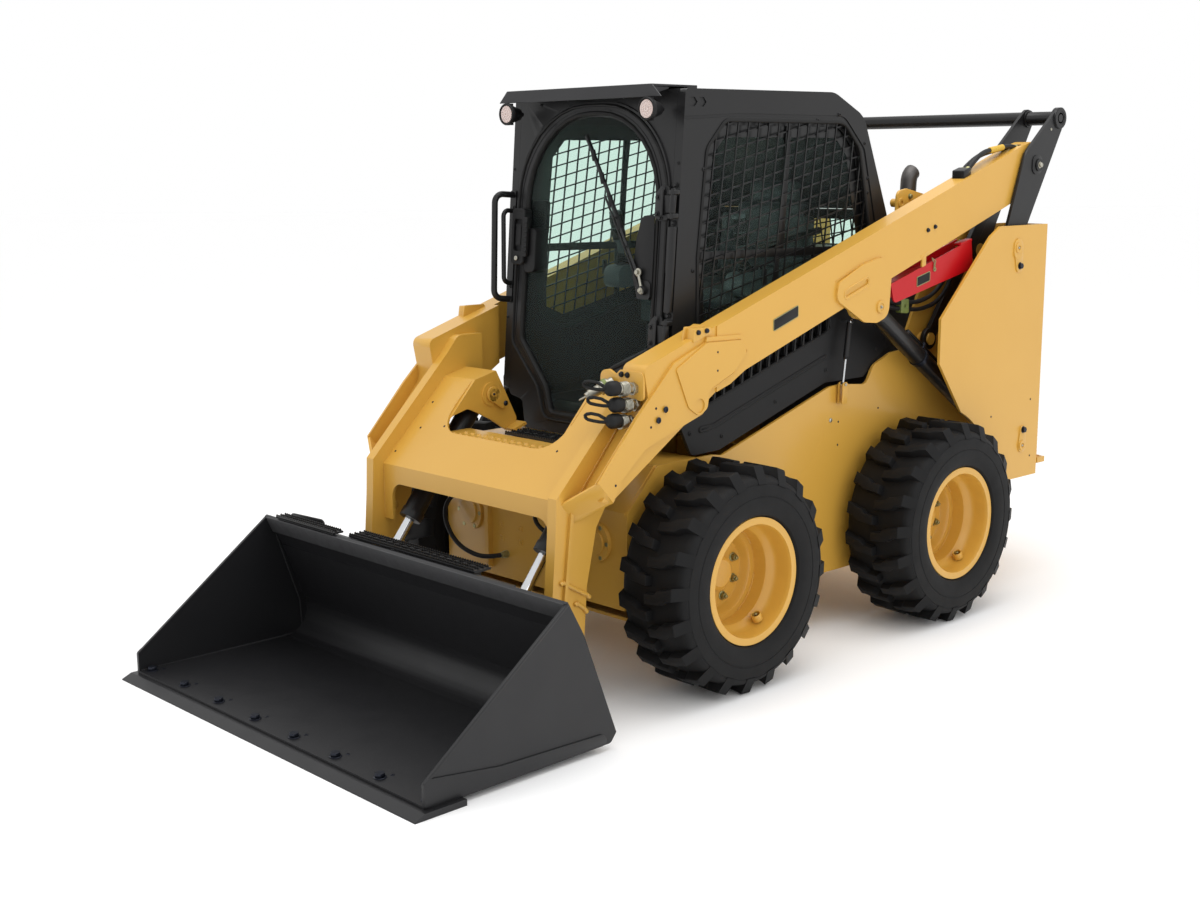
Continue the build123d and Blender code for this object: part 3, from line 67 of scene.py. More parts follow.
# ---- camera, floor and light -------------------------------------------------------------------------

# In metres, degrees and millimetres of focal length.
CAMERA_PLACE = (4.245, -4.3828, 1.837)
CAMERA_AZIMUTH = 46.508
CAMERA_ELEVATION = 10.4755
CAMERA_ROLL = -0.371
CAMERA_LENS = 46.8
CAMERA_SENSOR = 36
STAGE_REACH = 60  # metres: half of the floor, and as far as the camera sees
# Soft boxes: (name, place, aim, width, height, watts).
SOFT_BOXES = [
    ("side_box", (5.0, -0.6, 3.4), (0, 0.1, 0.8), 3.2, 2.2, 24),
    ("top_box", (0.6, 0.2, 5.2), (0, 0, 0.6), 3.8, 3.8, 120),
]


def srgb(code):
    """A linear colour from an sRGB hex code."""
    values = [int(code[start : start + 2], 16) / 255 for start in (0, 2, 4)]
    return (*[v / 12.92 if v <= 0.04045 else ((v + 0.055) / 1.055) ** 2.4 for v in values], 1.0)


def keep(shape, name):
    """A bmesh made into an object at the origin."""
    mesh = bpy.data.meshes.new(name)
    shape.to_mesh(mesh)
    shape.free()
    piece = bpy.data.objects.new(name, mesh)
    bpy.context.scene.collection.objects.link(piece)
    return piece


def node(tree, kind, settings=None, inputs=None):
    """Adds a shader node. An input given as a socket is linked, and any other value is set."""
    made = tree.nodes.new(kind)
    for name, value in (settings or {}).items():
        setattr(made, name, value)
    for name, value in (inputs or {}).items():
        if isinstance(value, bpy.types.NodeSocket):
            tree.links.new(value, made.inputs[name])
        else:
            made.inputs[name].default_value = value
    return made


def new_material(name):
    """A material with nodes, and its node tree and Principled shader."""
    made = bpy.data.materials.new(name)
    made.use_nodes = True
    return made, made.node_tree, made.node_tree.nodes["Principled BSDF"]


def set_stage():
    """Sets up the camera, the white floor and the soft light."""
    camera = bpy.data.objects.new("camera", bpy.data.cameras.new("camera"))
    bpy.context.scene.collection.objects.link(camera)
    turn = Matrix.Rotation(math.radians(CAMERA_AZIMUTH), 4, "Z")
    turn @= Matrix.Rotation(math.radians(90 - CAMERA_ELEVATION), 4, "X")
    turn @= Matrix.Rotation(math.radians(CAMERA_ROLL), 4, "Z")
    camera.matrix_world = Matrix.Translation(CAMERA_PLACE) @ turn
    camera.data.lens = CAMERA_LENS
    camera.data.sensor_width = CAMERA_SENSOR
    camera.data.clip_end = STAGE_REACH
    bpy.context.scene.camera = camera

    shape = bmesh.new()
    bmesh.ops.create_grid(shape, x_segments=1, y_segments=1, size=STAGE_REACH)
    floor = keep(shape, "studio_floor")
    # Matt white studio paper.
    paper, _, shader = new_material("white_studio_floor")
    shader.inputs["Base Color"].default_value = srgb("FFFFFF")
    shader.inputs["Roughness"].default_value = 0.9
    floor.data.materials.append(paper)
    floor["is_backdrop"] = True

    world = bpy.data.worlds.new("studio")
    world.use_nodes = True
    world.node_tree.nodes["Background"].inputs["Color"].default_value = (1, 1, 1, 1)
    world.node_tree.nodes["Background"].inputs["Strength"].default_value = 1.0
    bpy.context.scene.world = world
    for name, place, aim, width, height, watts in SOFT_BOXES:
        light = bpy.data.lights.new(name, "AREA")
        light.shape = "RECTANGLE"
        light.size, light.size_y, light.energy = width, height, watts
        holder = bpy.data.objects.new(name, light)
        holder.location = place
        holder.rotation_euler = (Vector(aim) - Vector(place)).to_track_quat("-Z", "Y").to_euler()
        bpy.context.scene.collection.objects.link(holder)
    bpy.context.scene.view_settings.view_transform = "Standard"


set_stage()

# ---- finishes ----------------------------------------------------------------------------------------

# The Mix node's colour sockets, whose names its other kinds of socket share.
MIX_FIRST, MIX_SECOND, MIX_RESULT = 6, 7, 2
COAT_ROUGHNESS = 0.12


def finish_of(name, colour, roughness, metallic=0.0, coat=0.0, grain=None, mottle=None, specular=None):
    """A painted, moulded or metal finish. grain is (size in mm, height in mm) of the surface's texture, and
    mottle is (size in mm, darker colour, roughness swing) of its slow change."""
    made, tree, shader = new_material(name)
    shader.inputs["Base Color"].default_value = srgb(colour)
    shader.inputs["Roughness"].default_value = roughness
    shader.inputs["Metallic"].default_value = metallic
    shader.inputs["Coat Weight"].default_value = coat
    shader.inputs["Coat Roughness"].default_value = COAT_ROUGHNESS
    if specular:
        shader.inputs["Specular IOR Level"].default_value = specular
    place = node(tree, "ShaderNodeTexCoord").outputs["Object"]

    def noise(size, detail):
        """Noise whose features are about so many millimetres across."""
        inputs = {"Vector": place, "Scale": 1 / (size * MM), "Detail": detail}
        return node(tree, "ShaderNodeTexNoise", None, inputs).outputs["Fac"]

    if mottle:
        size, darker, swing = mottle
        cloud = noise(size, 5.0)
        colours = {"Factor": cloud, MIX_FIRST: srgb(colour), MIX_SECOND: srgb(darker)}
        blend = node(tree, "ShaderNodeMix", {"data_type": "RGBA"}, colours)
        tree.links.new(blend.outputs[MIX_RESULT], shader.inputs["Base Color"])
        limits = {"Value": cloud, "To Min": roughness - swing, "To Max": roughness + swing}
        rough = node(tree, "ShaderNodeMapRange", None, limits)
        tree.links.new(rough.outputs["Result"], shader.inputs["Roughness"])
    if grain:
        size, height = grain
        relief = {"Height": noise(size, 2.0), "Distance": height * MM, "Strength": 1.0}
        bump = node(tree, "ShaderNodeBump", None, relief)
        tree.links.new(bump.outputs["Normal"], shader.inputs["Normal"])
    return made


def glass_of(name, colour, haze, filter_colour):
    """A thin pane: light passes through in the filter's colour, under a clear reflection and a faint haze."""
    made, tree, shader = new_material(name)
    shader.inputs["Base Color"].default_value = srgb(colour)
    shader.inputs["Roughness"].default_value = 0.03
    shader.inputs["IOR"].default_value = 1.5
    shader.inputs["Alpha"].default_value = 0.35
    clear = node(tree, "ShaderNodeBsdfTransparent", None, {"Color": srgb(filter_colour)})
    layers = {"Fac": haze, 1: clear.outputs["BSDF"], 2: shader.outputs["BSDF"]}
    blend = node(tree, "ShaderNodeMixShader", None, layers)
    tree.links.new(blend.outputs["Shader"], tree.nodes["Material Output"].inputs["Surface"])
    made.blend_method = "HASHED"
    return made


# The grain of plastics, rubber and vinyl is a few tenths of a millimetre on the real machine, and orange
# peel about one. They are drawn coarser, as they need to be to show at its size.

# Powder coat over steel: glossy with a faint orange peel, a little duller in slow patches.
yellow_powder_coat = finish_of(
    "yellow_powder_coat", "D2A243", 0.38, coat=0.2, grain=(3.5, 0.035), mottle=(260, "CD9C3E", 0.05)
)
# Black powder coat: satin, with the same peel.
black_powder_coat = finish_of(
    "black_powder_coat",
    "151516",
    0.4,
    coat=0.06,
    grain=(3, 0.04),
    mottle=(180, "121213", 0.06),
    specular=0.35,
)
# The roof's black coat, bleached lighter by the sun.
faded_roof_coat = finish_of(
    "faded_roof_coat",
    "262628",
    0.45,
    coat=0.05,
    grain=(3, 0.04),
    mottle=(200, "222224", 0.06),
    specular=0.4,
)
# Red powder coat: a deep, even red with the same peel.
red_powder_coat = finish_of(
    "red_powder_coat",
    "BC0A16",
    0.4,
    coat=0.05,
    grain=(3, 0.035),
    mottle=(90, "B20812", 0.05),
    specular=0.3,
)
# Graphite enamel on hot-rolled plate: duller than the frame's coat, with faint rolling marks.
graphite_enamel = finish_of(
    "graphite_enamel",
    "1A1A1C",
    0.43,
    coat=0.04,
    grain=(5, 0.06),
    mottle=(120, "161618", 0.08),
    specular=0.4,
)
# The same enamel painted paler, a painted highlight on the lip band's lit top, with bright and dull patches.
painted_highlight_graphite = finish_of(
    "painted_highlight_graphite_enamel", "414143", 0.5, grain=(4, 0.12), mottle=(70, "2C2C2D", 0.25)
)
# Natural rubber with carbon black: matt, with a fine mould grain.
tyre_rubber = finish_of(
    "tyre_rubber", "0E0E0F", 0.66, grain=(2.5, 0.12), mottle=(60, "0D0D0E", 0.08), specular=0.25
)
# Moulded nitrile rubber of seals, boots and caps: near black, softly satin.
black_rubber = finish_of(
    "black_rubber", "101010", 0.6, grain=(2, 0.05), mottle=(40, "151515", 0.06), specular=0.3
)
# Hydraulic hose cover of synthetic rubber, with the faint print of its wrapping.
hose_rubber = finish_of(
    "hose_rubber", "151516", 0.5, grain=(3, 0.1), mottle=(20, "1B1B1C", 0.06), specular=0.3
)
# Glass-filled polypropylene: black with a spark-eroded grain.
moulded_black_plastic = finish_of(
    "moulded_black_plastic", "0E0E0F", 0.52, grain=(1.6, 0.06), mottle=(30, "131314", 0.05), specular=0.3
)
# Textured grey polypropylene of the armrest pods.
grey_pod_plastic = finish_of(
    "grey_pod_plastic", "4A5255", 0.5, grain=(1.6, 0.06), mottle=(30, "42494C", 0.05)
)
# Moulded olive polyamide of a hose clamp and a coupling's colour ring.
olive_plastic = finish_of("olive_plastic", "7D8A4A", 0.45, mottle=(12, "6F7B40", 0.05))
# Woven nylon sleeve, whose coarse weave scatters the light.
yellow_sleeve = finish_of("yellow_nylon_sleeve", "D9B23A", 0.6, grain=(1.2, 0.25), mottle=(6, "B8912A", 0.06))
# Embossed vinyl over foam: dark grey, with a leather-like grain.
seat_vinyl = finish_of("seat_vinyl", "34393C", 0.55, grain=(1.2, 0.12), mottle=(50, "3B4144", 0.05))
# Hard chrome on a ground rod: bright, with a faint cloud of oil.
hard_chrome = finish_of("hard_chrome", "D8DADC", 0.14, metallic=1.0, mottle=(30, "C8CACC", 0.03))
# Zinc plate: pale grey with a faint yellow cast.
zinc_plate = finish_of("zinc_plate", "B9B7AE", 0.34, metallic=1.0, mottle=(18, "A39F8E", 0.08))
# Zinc plate with a yellow passivate, on the wheel studs and small hardware.
yellow_zinc = finish_of("yellow_zinc", "A6A27C", 0.36, metallic=0.85, mottle=(9, "8B8A5C", 0.08))
# Oil-blackened steel of bolt heads and plugs, with a blue cast.
blued_steel = finish_of("blued_steel", "2B2F3A", 0.32, metallic=0.7, mottle=(8, "20222A", 0.06))
# Sand-cast iron under grey primer: rough and dull.
cast_iron_grey = finish_of("cast_iron_grey", "3A3A3B", 0.62, grain=(4, 0.3), mottle=(40, "2C2C2D", 0.1))
# Stainless tube dulled by exhaust heat.
stainless_tube = finish_of(
    "stainless_tube", "636262", 0.5, metallic=1.0, grain=(2, 0.05), mottle=(60, "54504D", 0.1)
)
# Aluminised reflector bowl, which takes a warm tint from the lens.
lamp_bowl = finish_of("lamp_bowl", "E4D3CC", 0.2, metallic=1.0, mottle=(6, "C9B2AA", 0.05))
# Ceramic border baked on the glass: smooth, opaque and black.
ceramic_border = finish_of("ceramic_border", "101112", 0.3, mottle=(60, "0C0D0E", 0.04))
# Moulded red acrylic of the tail lamps.
red_lens = finish_of("red_lamp_lens", "8E1016", 0.2, coat=0.4, mottle=(8, "A01820", 0.03))
# Moulded clear acrylic over a white bowl, on the reversing lamps.
clear_lens = finish_of("clear_lamp_lens", "D9D6D0", 0.2, coat=0.4, mottle=(8, "CFCBC4", 0.03))
# Laminated safety glass with a faint green cast.
tinted_glass = glass_of("tinted_glass", "868E8E", 0.1, "F3FCF8")
# Clear polycarbonate lens of the work lamps, with a faint warm tint.
lamp_lens = glass_of("lamp_lens", "F2E6E2", 1.0, "FFFFFF")

# The finish of each slot.
FINISHES = {
    "yellow_paint": yellow_powder_coat,
    "black_paint": black_powder_coat,
    "bucket_paint": graphite_enamel,
    "rubber_tyre": tyre_rubber,
    "rubber_black": black_rubber,
    "red_paint": red_powder_coat,
    "tinted_glass": tinted_glass,
    "chrome_rod": hard_chrome,
    "zinc_steel": zinc_plate,
    "seat_vinyl": seat_vinyl,
    "black_plastic": moulded_black_plastic,
    "lamp_glass": lamp_lens,
    "cast_engine": cast_iron_grey,
    "exhaust_steel": stainless_tube,
}
# CAD nodes whose finish isn't their slot's.
OWN_FINISH = {
    "cab_roof": faded_roof_coat,
    "work_lamps": moulded_black_plastic,
    "side_skirts": moulded_black_plastic,
    "control_pods": grey_pod_plastic,
}
SLOT_OF = {part["node"]: part["material_slot"] for part in frame["record"]["subparts"]}
EASED_BY = 2.0  # millimetres
EASED_TURN = 38  # degrees, past which an edge is eased


def dress(name):
    """Gives a CAD node its finish and eases its sharp edges."""
    part = frame["nodes"][name]
    part.data.materials.clear()
    part.data.materials.append(OWN_FINISH.get(name, FINISHES[SLOT_OF[name]]))
    weld = part.modifiers.new("weld", "WELD")
    weld.merge_threshold = 2 * NO_GAP
    bevel = part.modifiers.new("eased_edges", "BEVEL")
    bevel.width = EASED_BY * MM
    bevel.segments = 2
    bevel.limit_method = "ANGLE"
    bevel.angle_limit = math.radians(EASED_TURN)
    bevel.harden_normals = True


for name in frame["nodes"]:
    dress(name)

# ---- making pieces -----------------------------------------------------------------------------------

ORIGIN_STATION = 403.5
TRACK_HALF = 685
WHEELBASE = 1249
AXLE_HEIGHT = 405
WHEELS = {
    "front_left": (TRACK_HALF, 0),
    "front_right": (-TRACK_HALF, 0),
    "rear_left": (TRACK_HALF, WHEELBASE),
    "rear_right": (-TRACK_HALF, WHEELBASE),
}
ROUND_TURN = math.radians(30)  # past which a new piece's edge is rounded
WASHER_HEIGHT = 2
UP = Vector((0, 0, 1))
AHEAD = Vector((0, -1, 0))
BACKWARDS = Vector((0, 1, 0))


def at(x, station, height):
    """A point in metres from millimetres. The station is measured back from the front axle."""
    return Vector((x, station - ORIGIN_STATION, height)) * MM


def merge(shape, part):
    """Adds one bmesh to another and frees it."""
    passing = bpy.data.meshes.new("passing")
    part.to_mesh(passing)
    part.free()
    shape.from_mesh(passing)
    bpy.data.meshes.remove(passing)


def face_outwards(part):
    """Turns the faces of one closed shell outwards. Its volume shows where they were turned inwards."""
    bmesh.ops.recalc_face_normals(part, faces=part.faces)
    if part.calc_volume(signed=True) < 0:
        bmesh.ops.reverse_faces(part, faces=part.faces)


def round_edges(part, edges, width, segments, clamp=False):
    """Rounds some edges by a width in the shape's own unit."""
    bmesh.ops.bevel(
        part,
        geom=edges,
        offset=width,
        offset_type="OFFSET",
        affect="EDGES",
        segments=segments,
        profile=0.5,
        material=-1,
        clamp_overlap=clamp,
    )


def ease(part, width, segments=2):
    """Rounds the sharp edges by so many millimetres."""
    edges = [e for e in part.edges if len(e.link_faces) == 2 and e.calc_face_angle() > ROUND_TURN]
    round_edges(part, edges, width * MM, segments, clamp=True)


def push(part, corners, span):
    """Makes a face of some corners, extrudes it by a span and returns the corners that moved."""
    face = part.faces.new([part.verts.new(corner) for corner in corners])
    made = bmesh.ops.extrude_face_region(part, geom=[face], use_keep_orig=True)
    moved = [item for item in made["geom"] if isinstance(item, bmesh.types.BMVert)]
    bmesh.ops.translate(part, verts=moved, vec=span)
    return moved


def add_slab(shape, corners, span, edge=0.0, segments=2):
    """Adds a flat plate: its outline in metres, pushed through by a span, with eased edges."""
    part = bmesh.new()
    push(part, corners, span)
    face_outwards(part)
    if edge:
        ease(part, edge, segments)
    merge(shape, part)


def turn_to(direction):
    """The turn that takes the upward axis to a direction."""
    return UP.rotation_difference(Vector(direction).normalized()).to_matrix().to_4x4()


def spin_round(part, corners, edges, axis, steps):
    """Turns a section once round an axis through the origin, and closes the seam."""
    bmesh.ops.spin(
        part,
        geom=corners + edges,
        cent=(0, 0, 0),
        axis=axis,
        angle=FULL_TURN,
        steps=steps,
        use_merge=True,
        use_duplicate=False,
    )
    bmesh.ops.remove_doubles(part, verts=part.verts, dist=NO_GAP)
    face_outwards(part)


def add_turned(shape, profile, place, direction, steps=24, ring=False):
    """Adds a turned shape. The profile is (along the axis, radius) in millimetres, out from the place."""
    part = bmesh.new()
    corners = [part.verts.new((radius * MM, 0, along * MM)) for along, radius in profile]
    edges = [part.edges.new(pair) for pair in zip(corners, corners[1:])]
    if ring:
        edges.append(part.edges.new((corners[-1], corners[0])))
    spin_round(part, corners, edges, (0, 0, 1), steps)
    part.transform(Matrix.Translation(place) @ turn_to(direction))
    merge(shape, part)


def add_hex_bolt(shape, place, direction, across=19, height=10, washer=14):
    """Adds a hexagon bolt head on its washer."""
    head = bmesh.new()
    radius = across / 2 / math.cos(math.radians(30)) * MM
    bmesh.ops.create_cone(
        head, cap_ends=True, segments=6, radius1=radius, radius2=radius, depth=height * MM
    )
    bmesh.ops.translate(head, verts=head.verts, vec=(0, 0, (height / 2 + WASHER_HEIGHT) * MM))
    ease(head, 1.2, 1)
    head.transform(Matrix.Translation(place) @ turn_to(direction))
    merge(shape, head)
    profile = [(-0.5, 0), (-0.5, washer), (WASHER_HEIGHT, washer), (2.6, washer - 1), (2.6, 0)]
    add_turned(shape, profile, place, direction, 18)


def add_button(shape, place, direction, radius=9, height=5):
    """Adds a low domed fastener head with its socket."""
    profile = [
        (-0.5, 0),
        (-0.5, radius),
        (height * 0.35, radius),
        (height * 0.8, radius * 0.78),
        (height, radius * 0.45),
        (height * 0.45, radius * 0.36),
        (height * 0.45, 0),
    ]
    add_turned(shape, profile, place, direction, 16)


def add_nipple(shape, place, direction):
    """Adds a grease nipple."""
    add_turned(shape, [(-0.5, 0), (-0.5, 5), (1.5, 4), (3.5, 5), (5.5, 3.5), (5.5, 0)], place, direction, 12)


def add_drop(shape, place, radius, stretch=(1, 1, 1)):
    """Adds a coarse ball, stretched along the axes."""
    drop = bmesh.new()
    bmesh.ops.create_icosphere(drop, subdivisions=1, radius=radius * MM)
    bmesh.ops.scale(drop, vec=stretch, verts=drop.verts)
    bmesh.ops.translate(drop, verts=drop.verts, vec=place)
    merge(shape, drop)


def hand_over(piece, body, slot_name, finish=None, smooth=34):
    """Smooths a piece's shading, gives it its finish (its slot's unless one is given) and puts it under its
    body.
    """
    if piece.type == "MESH":
        for face in piece.data.polygons:
            face.use_smooth = True
        piece.data.set_sharp_from_angle(angle=math.radians(smooth))
    piece.data.materials.append(finish or FINISHES[slot_name])
    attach(piece, body)
    return piece


def tube(name, points, radius):
    """A hose through points, as a curve with a round section."""
    line = bpy.data.curves.new(name, "CURVE")
    line.dimensions = "3D"
    spline = line.splines.new("NURBS")
    spline.points.add(len(points) - 1)
    for control, point in zip(spline.points, points):
        control.co = (*point, 1)
    spline.order_u = 3
    spline.use_endpoint_u = True
    line.resolution_u = 8
    line.bevel_depth = radius * MM
    line.bevel_resolution = 3
    line.use_fill_caps = True
    piece = bpy.data.objects.new(name, line)
    bpy.context.scene.collection.objects.link(piece)
    return piece


# ---- tyres -------------------------------------------------------------------------------------------

# Half of the carcass in section, as (across, radius): bead, sidewall with its ribs, shoulder and crown.
SIDEWALL = [
    (112, 212),
    (127, 214),
    (128, 229),
    (139, 231),
    (145, 236),
    (149, 247),
    (152, 262),
    (153.2, 280),
    (152.6, 296),
    (150.8, 298),
    (150.6, 301),
    (152.4, 303),
    (151.8, 324),
    (149.6, 341),
    (147.2, 343),
    (147, 346),
    (148, 348),
    (143, 358),
    (133, 366),
    (112, 371),
    (60, 374),
    (0, 375),
]
# A lug seen from outside, as (across, along): a bar with a step in it and a wide foot on the shoulder.
LUG = [(-6, -32), (-6, 8), (40, 14), (58, 32), (92, 40), (125, 55), (125, 3), (96, -4), (74, -22), (48, -26)]
LUG_PITCHES = 20
LUG_ROOT = 360
LUG_TOP = 403.6
SHOULDER = 110  # across the tyre, beyond which a lug's foot runs down the sidewall
# The middle of a lug's plan, as (across, along), and what its top keeps of the plan: across the crown,
# along the tread and across the foot.
LUG_MIDDLE = (60, 8)
LUG_DRAFT = (0.96, 0.86, 0.985)
LUG_FOOT = (151.5, 343)  # (across, radius) where the foot ends on the sidewall
# The rim's fittings, as distances out from the wheel's middle plane and radii round its axle.
STUD_FACE, STUD_RADIUS, STUDS = -48, 101, 8
BEAD_FACE, BEAD_RADIUS = -13, 171.5
VALVE_FACE, VALVE_RADIUS, VALVE_TURN = 78, 186, math.radians(152)


def add_lug(shape, side, turn):
    """Adds one lug, drafted toward its top, with its foot drawn down over the shoulder."""
    lug = bmesh.new()
    base = [(across, along, LUG_ROOT) for across, along in LUG]
    top = push(lug, base, (0, 0, LUG_TOP - LUG_ROOT))
    middle_across, middle_along = LUG_MIDDLE
    crown_draft, along_draft, foot_draft = LUG_DRAFT
    for corner in top:
        draft = crown_draft if corner.co.x < SHOULDER else foot_draft
        corner.co.x = middle_across + (corner.co.x - middle_across) * draft
        corner.co.y = middle_along + (corner.co.y - middle_along) * along_draft
    for corner in lug.verts:
        if corner not in top and corner.co.x > SHOULDER:
            corner.co.x, corner.co.z = LUG_FOOT
    face_outwards(lug)
    raised = LUG_ROOT + 5
    crown = [edge for edge in lug.edges if all(corner.co.z > raised for corner in edge.verts)]
    round_edges(lug, crown, 3.2, 2)
    for corner in lug.verts:
        across, along, height = corner.co
        angle = along / LUG_TOP + math.radians(turn)
        corner.co = Vector((across * side, height * math.sin(angle), height * math.cos(angle))) * MM
    face_outwards(lug)
    merge(shape, lug)


def make_tyre(side):
    """A tyre on its own axis, with its lugs hooked for one side of the machine."""
    carcass = bmesh.new()
    section = SIDEWALL + [(-across, radius) for across, radius in reversed(SIDEWALL[:-1])]
    corners = [carcass.verts.new((across * MM, 0, radius * MM)) for across, radius in section]
    edges = [carcass.edges.new(pair) for pair in zip(corners, corners[1:] + corners[:1])]
    spin_round(carcass, corners, edges, (1, 0, 0), 96)
    pitch = 360 / LUG_PITCHES
    for index in range(LUG_PITCHES):
        add_lug(carcass, side, index * pitch)
        add_lug(carcass, -side, (index + 0.5) * pitch)
    return carcass


def about_axle(face, radius, turn):
    """A point on the rim, in metres from the wheel's middle."""
    return Vector((face, radius * math.sin(turn), radius * math.cos(turn))) * MM


def rim_fittings(side):
    """What is bolted and welded to a rim: nuts on studs, the weld between disc and barrel, and the valve."""
    nuts, welds = bmesh.new(), bmesh.new()
    out = (side, 0, 0)
    for index in range(STUDS):
        seat = about_axle(STUD_FACE * side, STUD_RADIUS, math.radians((index + 0.5) * 360 / STUDS))
        add_hex_bolt(nuts, seat, out, across=22, height=15, washer=17)
        add_turned(nuts, [(12, 0), (12, 6.5), (24, 6.5), (25.5, 5), (25.5, 0)], seat, out, 12)
    # Four runs of weld bead where the disc meets the barrel.
    for start in (10, 100, 190, 280):
        for step in range(26):
            bead = about_axle(BEAD_FACE * side, BEAD_RADIUS, math.radians(start + step * 2))
            add_drop(welds, bead, 4.2, (1, 1, 1.2))
    # A pressed guard with the valve inside it.
    inward = -about_axle(0, 1, VALVE_TURN)
    seat = about_axle(VALVE_FACE * side, VALVE_RADIUS, VALVE_TURN)
    valve = [(-8, 0), (-8, 5), (10, 5), (11, 6.5), (24, 6.5), (26, 4.5), (26, 0)]
    add_turned(nuts, valve, seat, inward, 14)
    guard = [(-3, 14), (22, 14), (24, 16), (24, 18), (22, 19), (-3, 19)]
    add_turned(welds, guard, seat, inward, 24, ring=True)
    return nuts, welds


for name, (x, station) in WHEELS.items():
    side = 1 if x > 0 else -1
    wheel = "wheel_" + name
    hub = Matrix.Translation(at(x, station, AXLE_HEIGHT))
    tyre = make_tyre(side)
    tyre.transform(hub)
    tread = hand_over(keep(tyre, "tread_" + name), wheel, "rubber_tyre", smooth=30)
    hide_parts("tyre_" + name)
    nuts, welds = rim_fittings(side)
    nuts.transform(hub)
    welds.transform(hub)
    hand_over(keep(nuts, "wheel_nuts_" + name), wheel, "zinc_steel", yellow_zinc)
    hand_over(keep(welds, "rim_welds_" + name), wheel, "yellow_paint")

# ---- seat --------------------------------------------------------------------------------------------

SWELL_STEPS = 20
PAD_TRAVEL = 12  # millimetres that the vinyl may swell
HEAD_PAD_TRAVEL = 9


def settle(piece):
    """Makes what the modifiers show into the piece's own mesh."""
    bpy.context.view_layer.update()
    shown = piece.evaluated_get(bpy.context.evaluated_depsgraph_get())
    mesh = bpy.data.meshes.new_from_object(shown)
    piece.modifiers.clear()
    piece.data = mesh


def swell(pad, cap):
    """Blows the pad up a little like stuffed vinyl, without letting any point travel past the cap."""
    settle(pad)
    before = [corner.co.copy() for corner in pad.data.vertices]
    cloth = pad.modifiers.new("cloth", "CLOTH")
    cloth.settings.use_pressure = True
    cloth.settings.uniform_pressure_force = 4
    cloth.settings.quality = 4
    cloth.settings.effector_weights.gravity = 0
    cloth.point_cache.frame_start, cloth.point_cache.frame_end = 1, SWELL_STEPS
    for step in range(1, SWELL_STEPS + 1):
        bpy.context.scene.frame_set(step)
    settle(pad)
    for corner, old in zip(pad.data.vertices, before):
        travel = corner.co - old
        if travel.length > cap * MM:
            corner.co = old + travel.normalized() * cap * MM
    bpy.context.scene.frame_set(1)


def sewn_pad(name, places, cap):
    """A foam pad under vinyl: rounded blocks joined, swelled by pressure, with its movement capped.
    Each block is (low corner, high corner, lean in degrees) in millimetres."""
    start = bmesh.new()
    for low, high, lean in places:
        block = bmesh.new()
        bmesh.ops.create_cube(block, size=1)
        size = [b - a for a, b in zip(low, high)]
        middle = at(*[(a + b) / 2 for a, b in zip(low, high)])
        bmesh.ops.scale(block, vec=[s * MM for s in size], verts=block.verts)
        round_edges(block, block.edges[:], min(size) * 0.3 * MM, 4)
        block.transform(Matrix.Translation(middle) @ Matrix.Rotation(math.radians(lean), 4, "X"))
        merge(start, block)
    pad = keep(start, name)
    remesh = pad.modifiers.new("voxels", "REMESH")
    remesh.mode = "VOXEL"
    remesh.voxel_size = 6 * MM
    swell(pad, cap)
    settle(pad)
    smooth = pad.modifiers.new("smooth", "SUBSURF")
    smooth.levels = smooth.render_levels = 1
    settle(pad)
    hand_over(pad, "chassis", "seat_vinyl", smooth=80)
    return pad


# The cushion and the back are a middle block between two bolsters.
CUSHION = [
    ((-178, 552, 1272), (178, 985, 1330), -1),
    ((-228, 560, 1274), (-168, 980, 1356), -1),
    ((168, 560, 1274), (228, 980, 1356), -1),
]
SEAT_BACK = [
    ((-165, 985, 1345), (165, 1060, 1680), -7),
    ((-216, 940, 1352), (-160, 1062, 1622), -7),
    ((160, 940, 1352), (216, 1062, 1622), -7),
]
cushion = sewn_pad("seat_cushion_pad", CUSHION, PAD_TRAVEL)
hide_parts("seat")
sewn_pad("seat_back_pad", SEAT_BACK, PAD_TRAVEL)
sewn_pad("seat_head_pad", [((-122, 1030, 1664), (122, 1086, 1752), -6)], HEAD_PAD_TRAVEL)

# The seat's pan, the folds of its bellows and the shell behind the back.
frame_of_seat = bmesh.new()
pan = [(590, 1182), (960, 1182), (990, 1262), (560, 1262)]
add_slab(frame_of_seat, [at(-205, *corner) for corner in pan], (0.41, 0, 0), 8, 3)
for index in range(6):
    tuck = 6 if index % 2 else 0
    half, near, far = 212 - tuck, 584 + tuck, 966 - tuck
    fold = [(-half, near), (half, near), (half, far), (-half, far)]
    add_slab(frame_of_seat, [at(x, y, 1186 + index * 12) for x, y in fold], (0, 0, 0.011), 4, 2)
shell = [(1058, 1340), (1078, 1340), (1104, 1640), (1088, 1650)]
add_slab(frame_of_seat, [at(-170, *corner) for corner in shell], (0.34, 0, 0), 6, 2)
hand_over(keep(frame_of_seat, "seat_frame_and_bellows"), "chassis", "black_plastic")

# ---- outlines and mouldings --------------------------------------------------------------------------

FRONT_FOOT = -50
FRONT_FOOT_HEIGHT = 950
FRONT_LEAN = 0.08
FORWARDS = Vector((0, -1, FRONT_LEAN)).normalized()
CAB_HALF = 450
GRIP_HOLE = [(-1, 8), (-1, 12), (2, 12), (3.4, 10.5), (2, 8)]  # the raised rim of a round hole in a tread


def front(x, height, ahead):
    """A point on the leaning cab front, some way ahead of it."""
    return at(x, FRONT_FOOT + (height - FRONT_FOOT_HEIGHT) * FRONT_LEAN - ahead, height)


def side_of(side):
    """Turns (station, height, distance out from the middle plane) into points on one side."""
    return lambda station, height, out: at(side * out, station, height)


def facing(station):
    """Turns (x, height, distance ahead) into points on an upright plane that faces forwards."""
    return lambda x, height, ahead: at(x, station - ahead, height)


def box(near, far, foot, top, radius=None):
    """A rectangle's outline, with its corners turned by one radius."""
    turn = (radius,) if radius else ()
    return [(near, foot, *turn), (near, top, *turn), (far, top, *turn), (far, foot, *turn)]


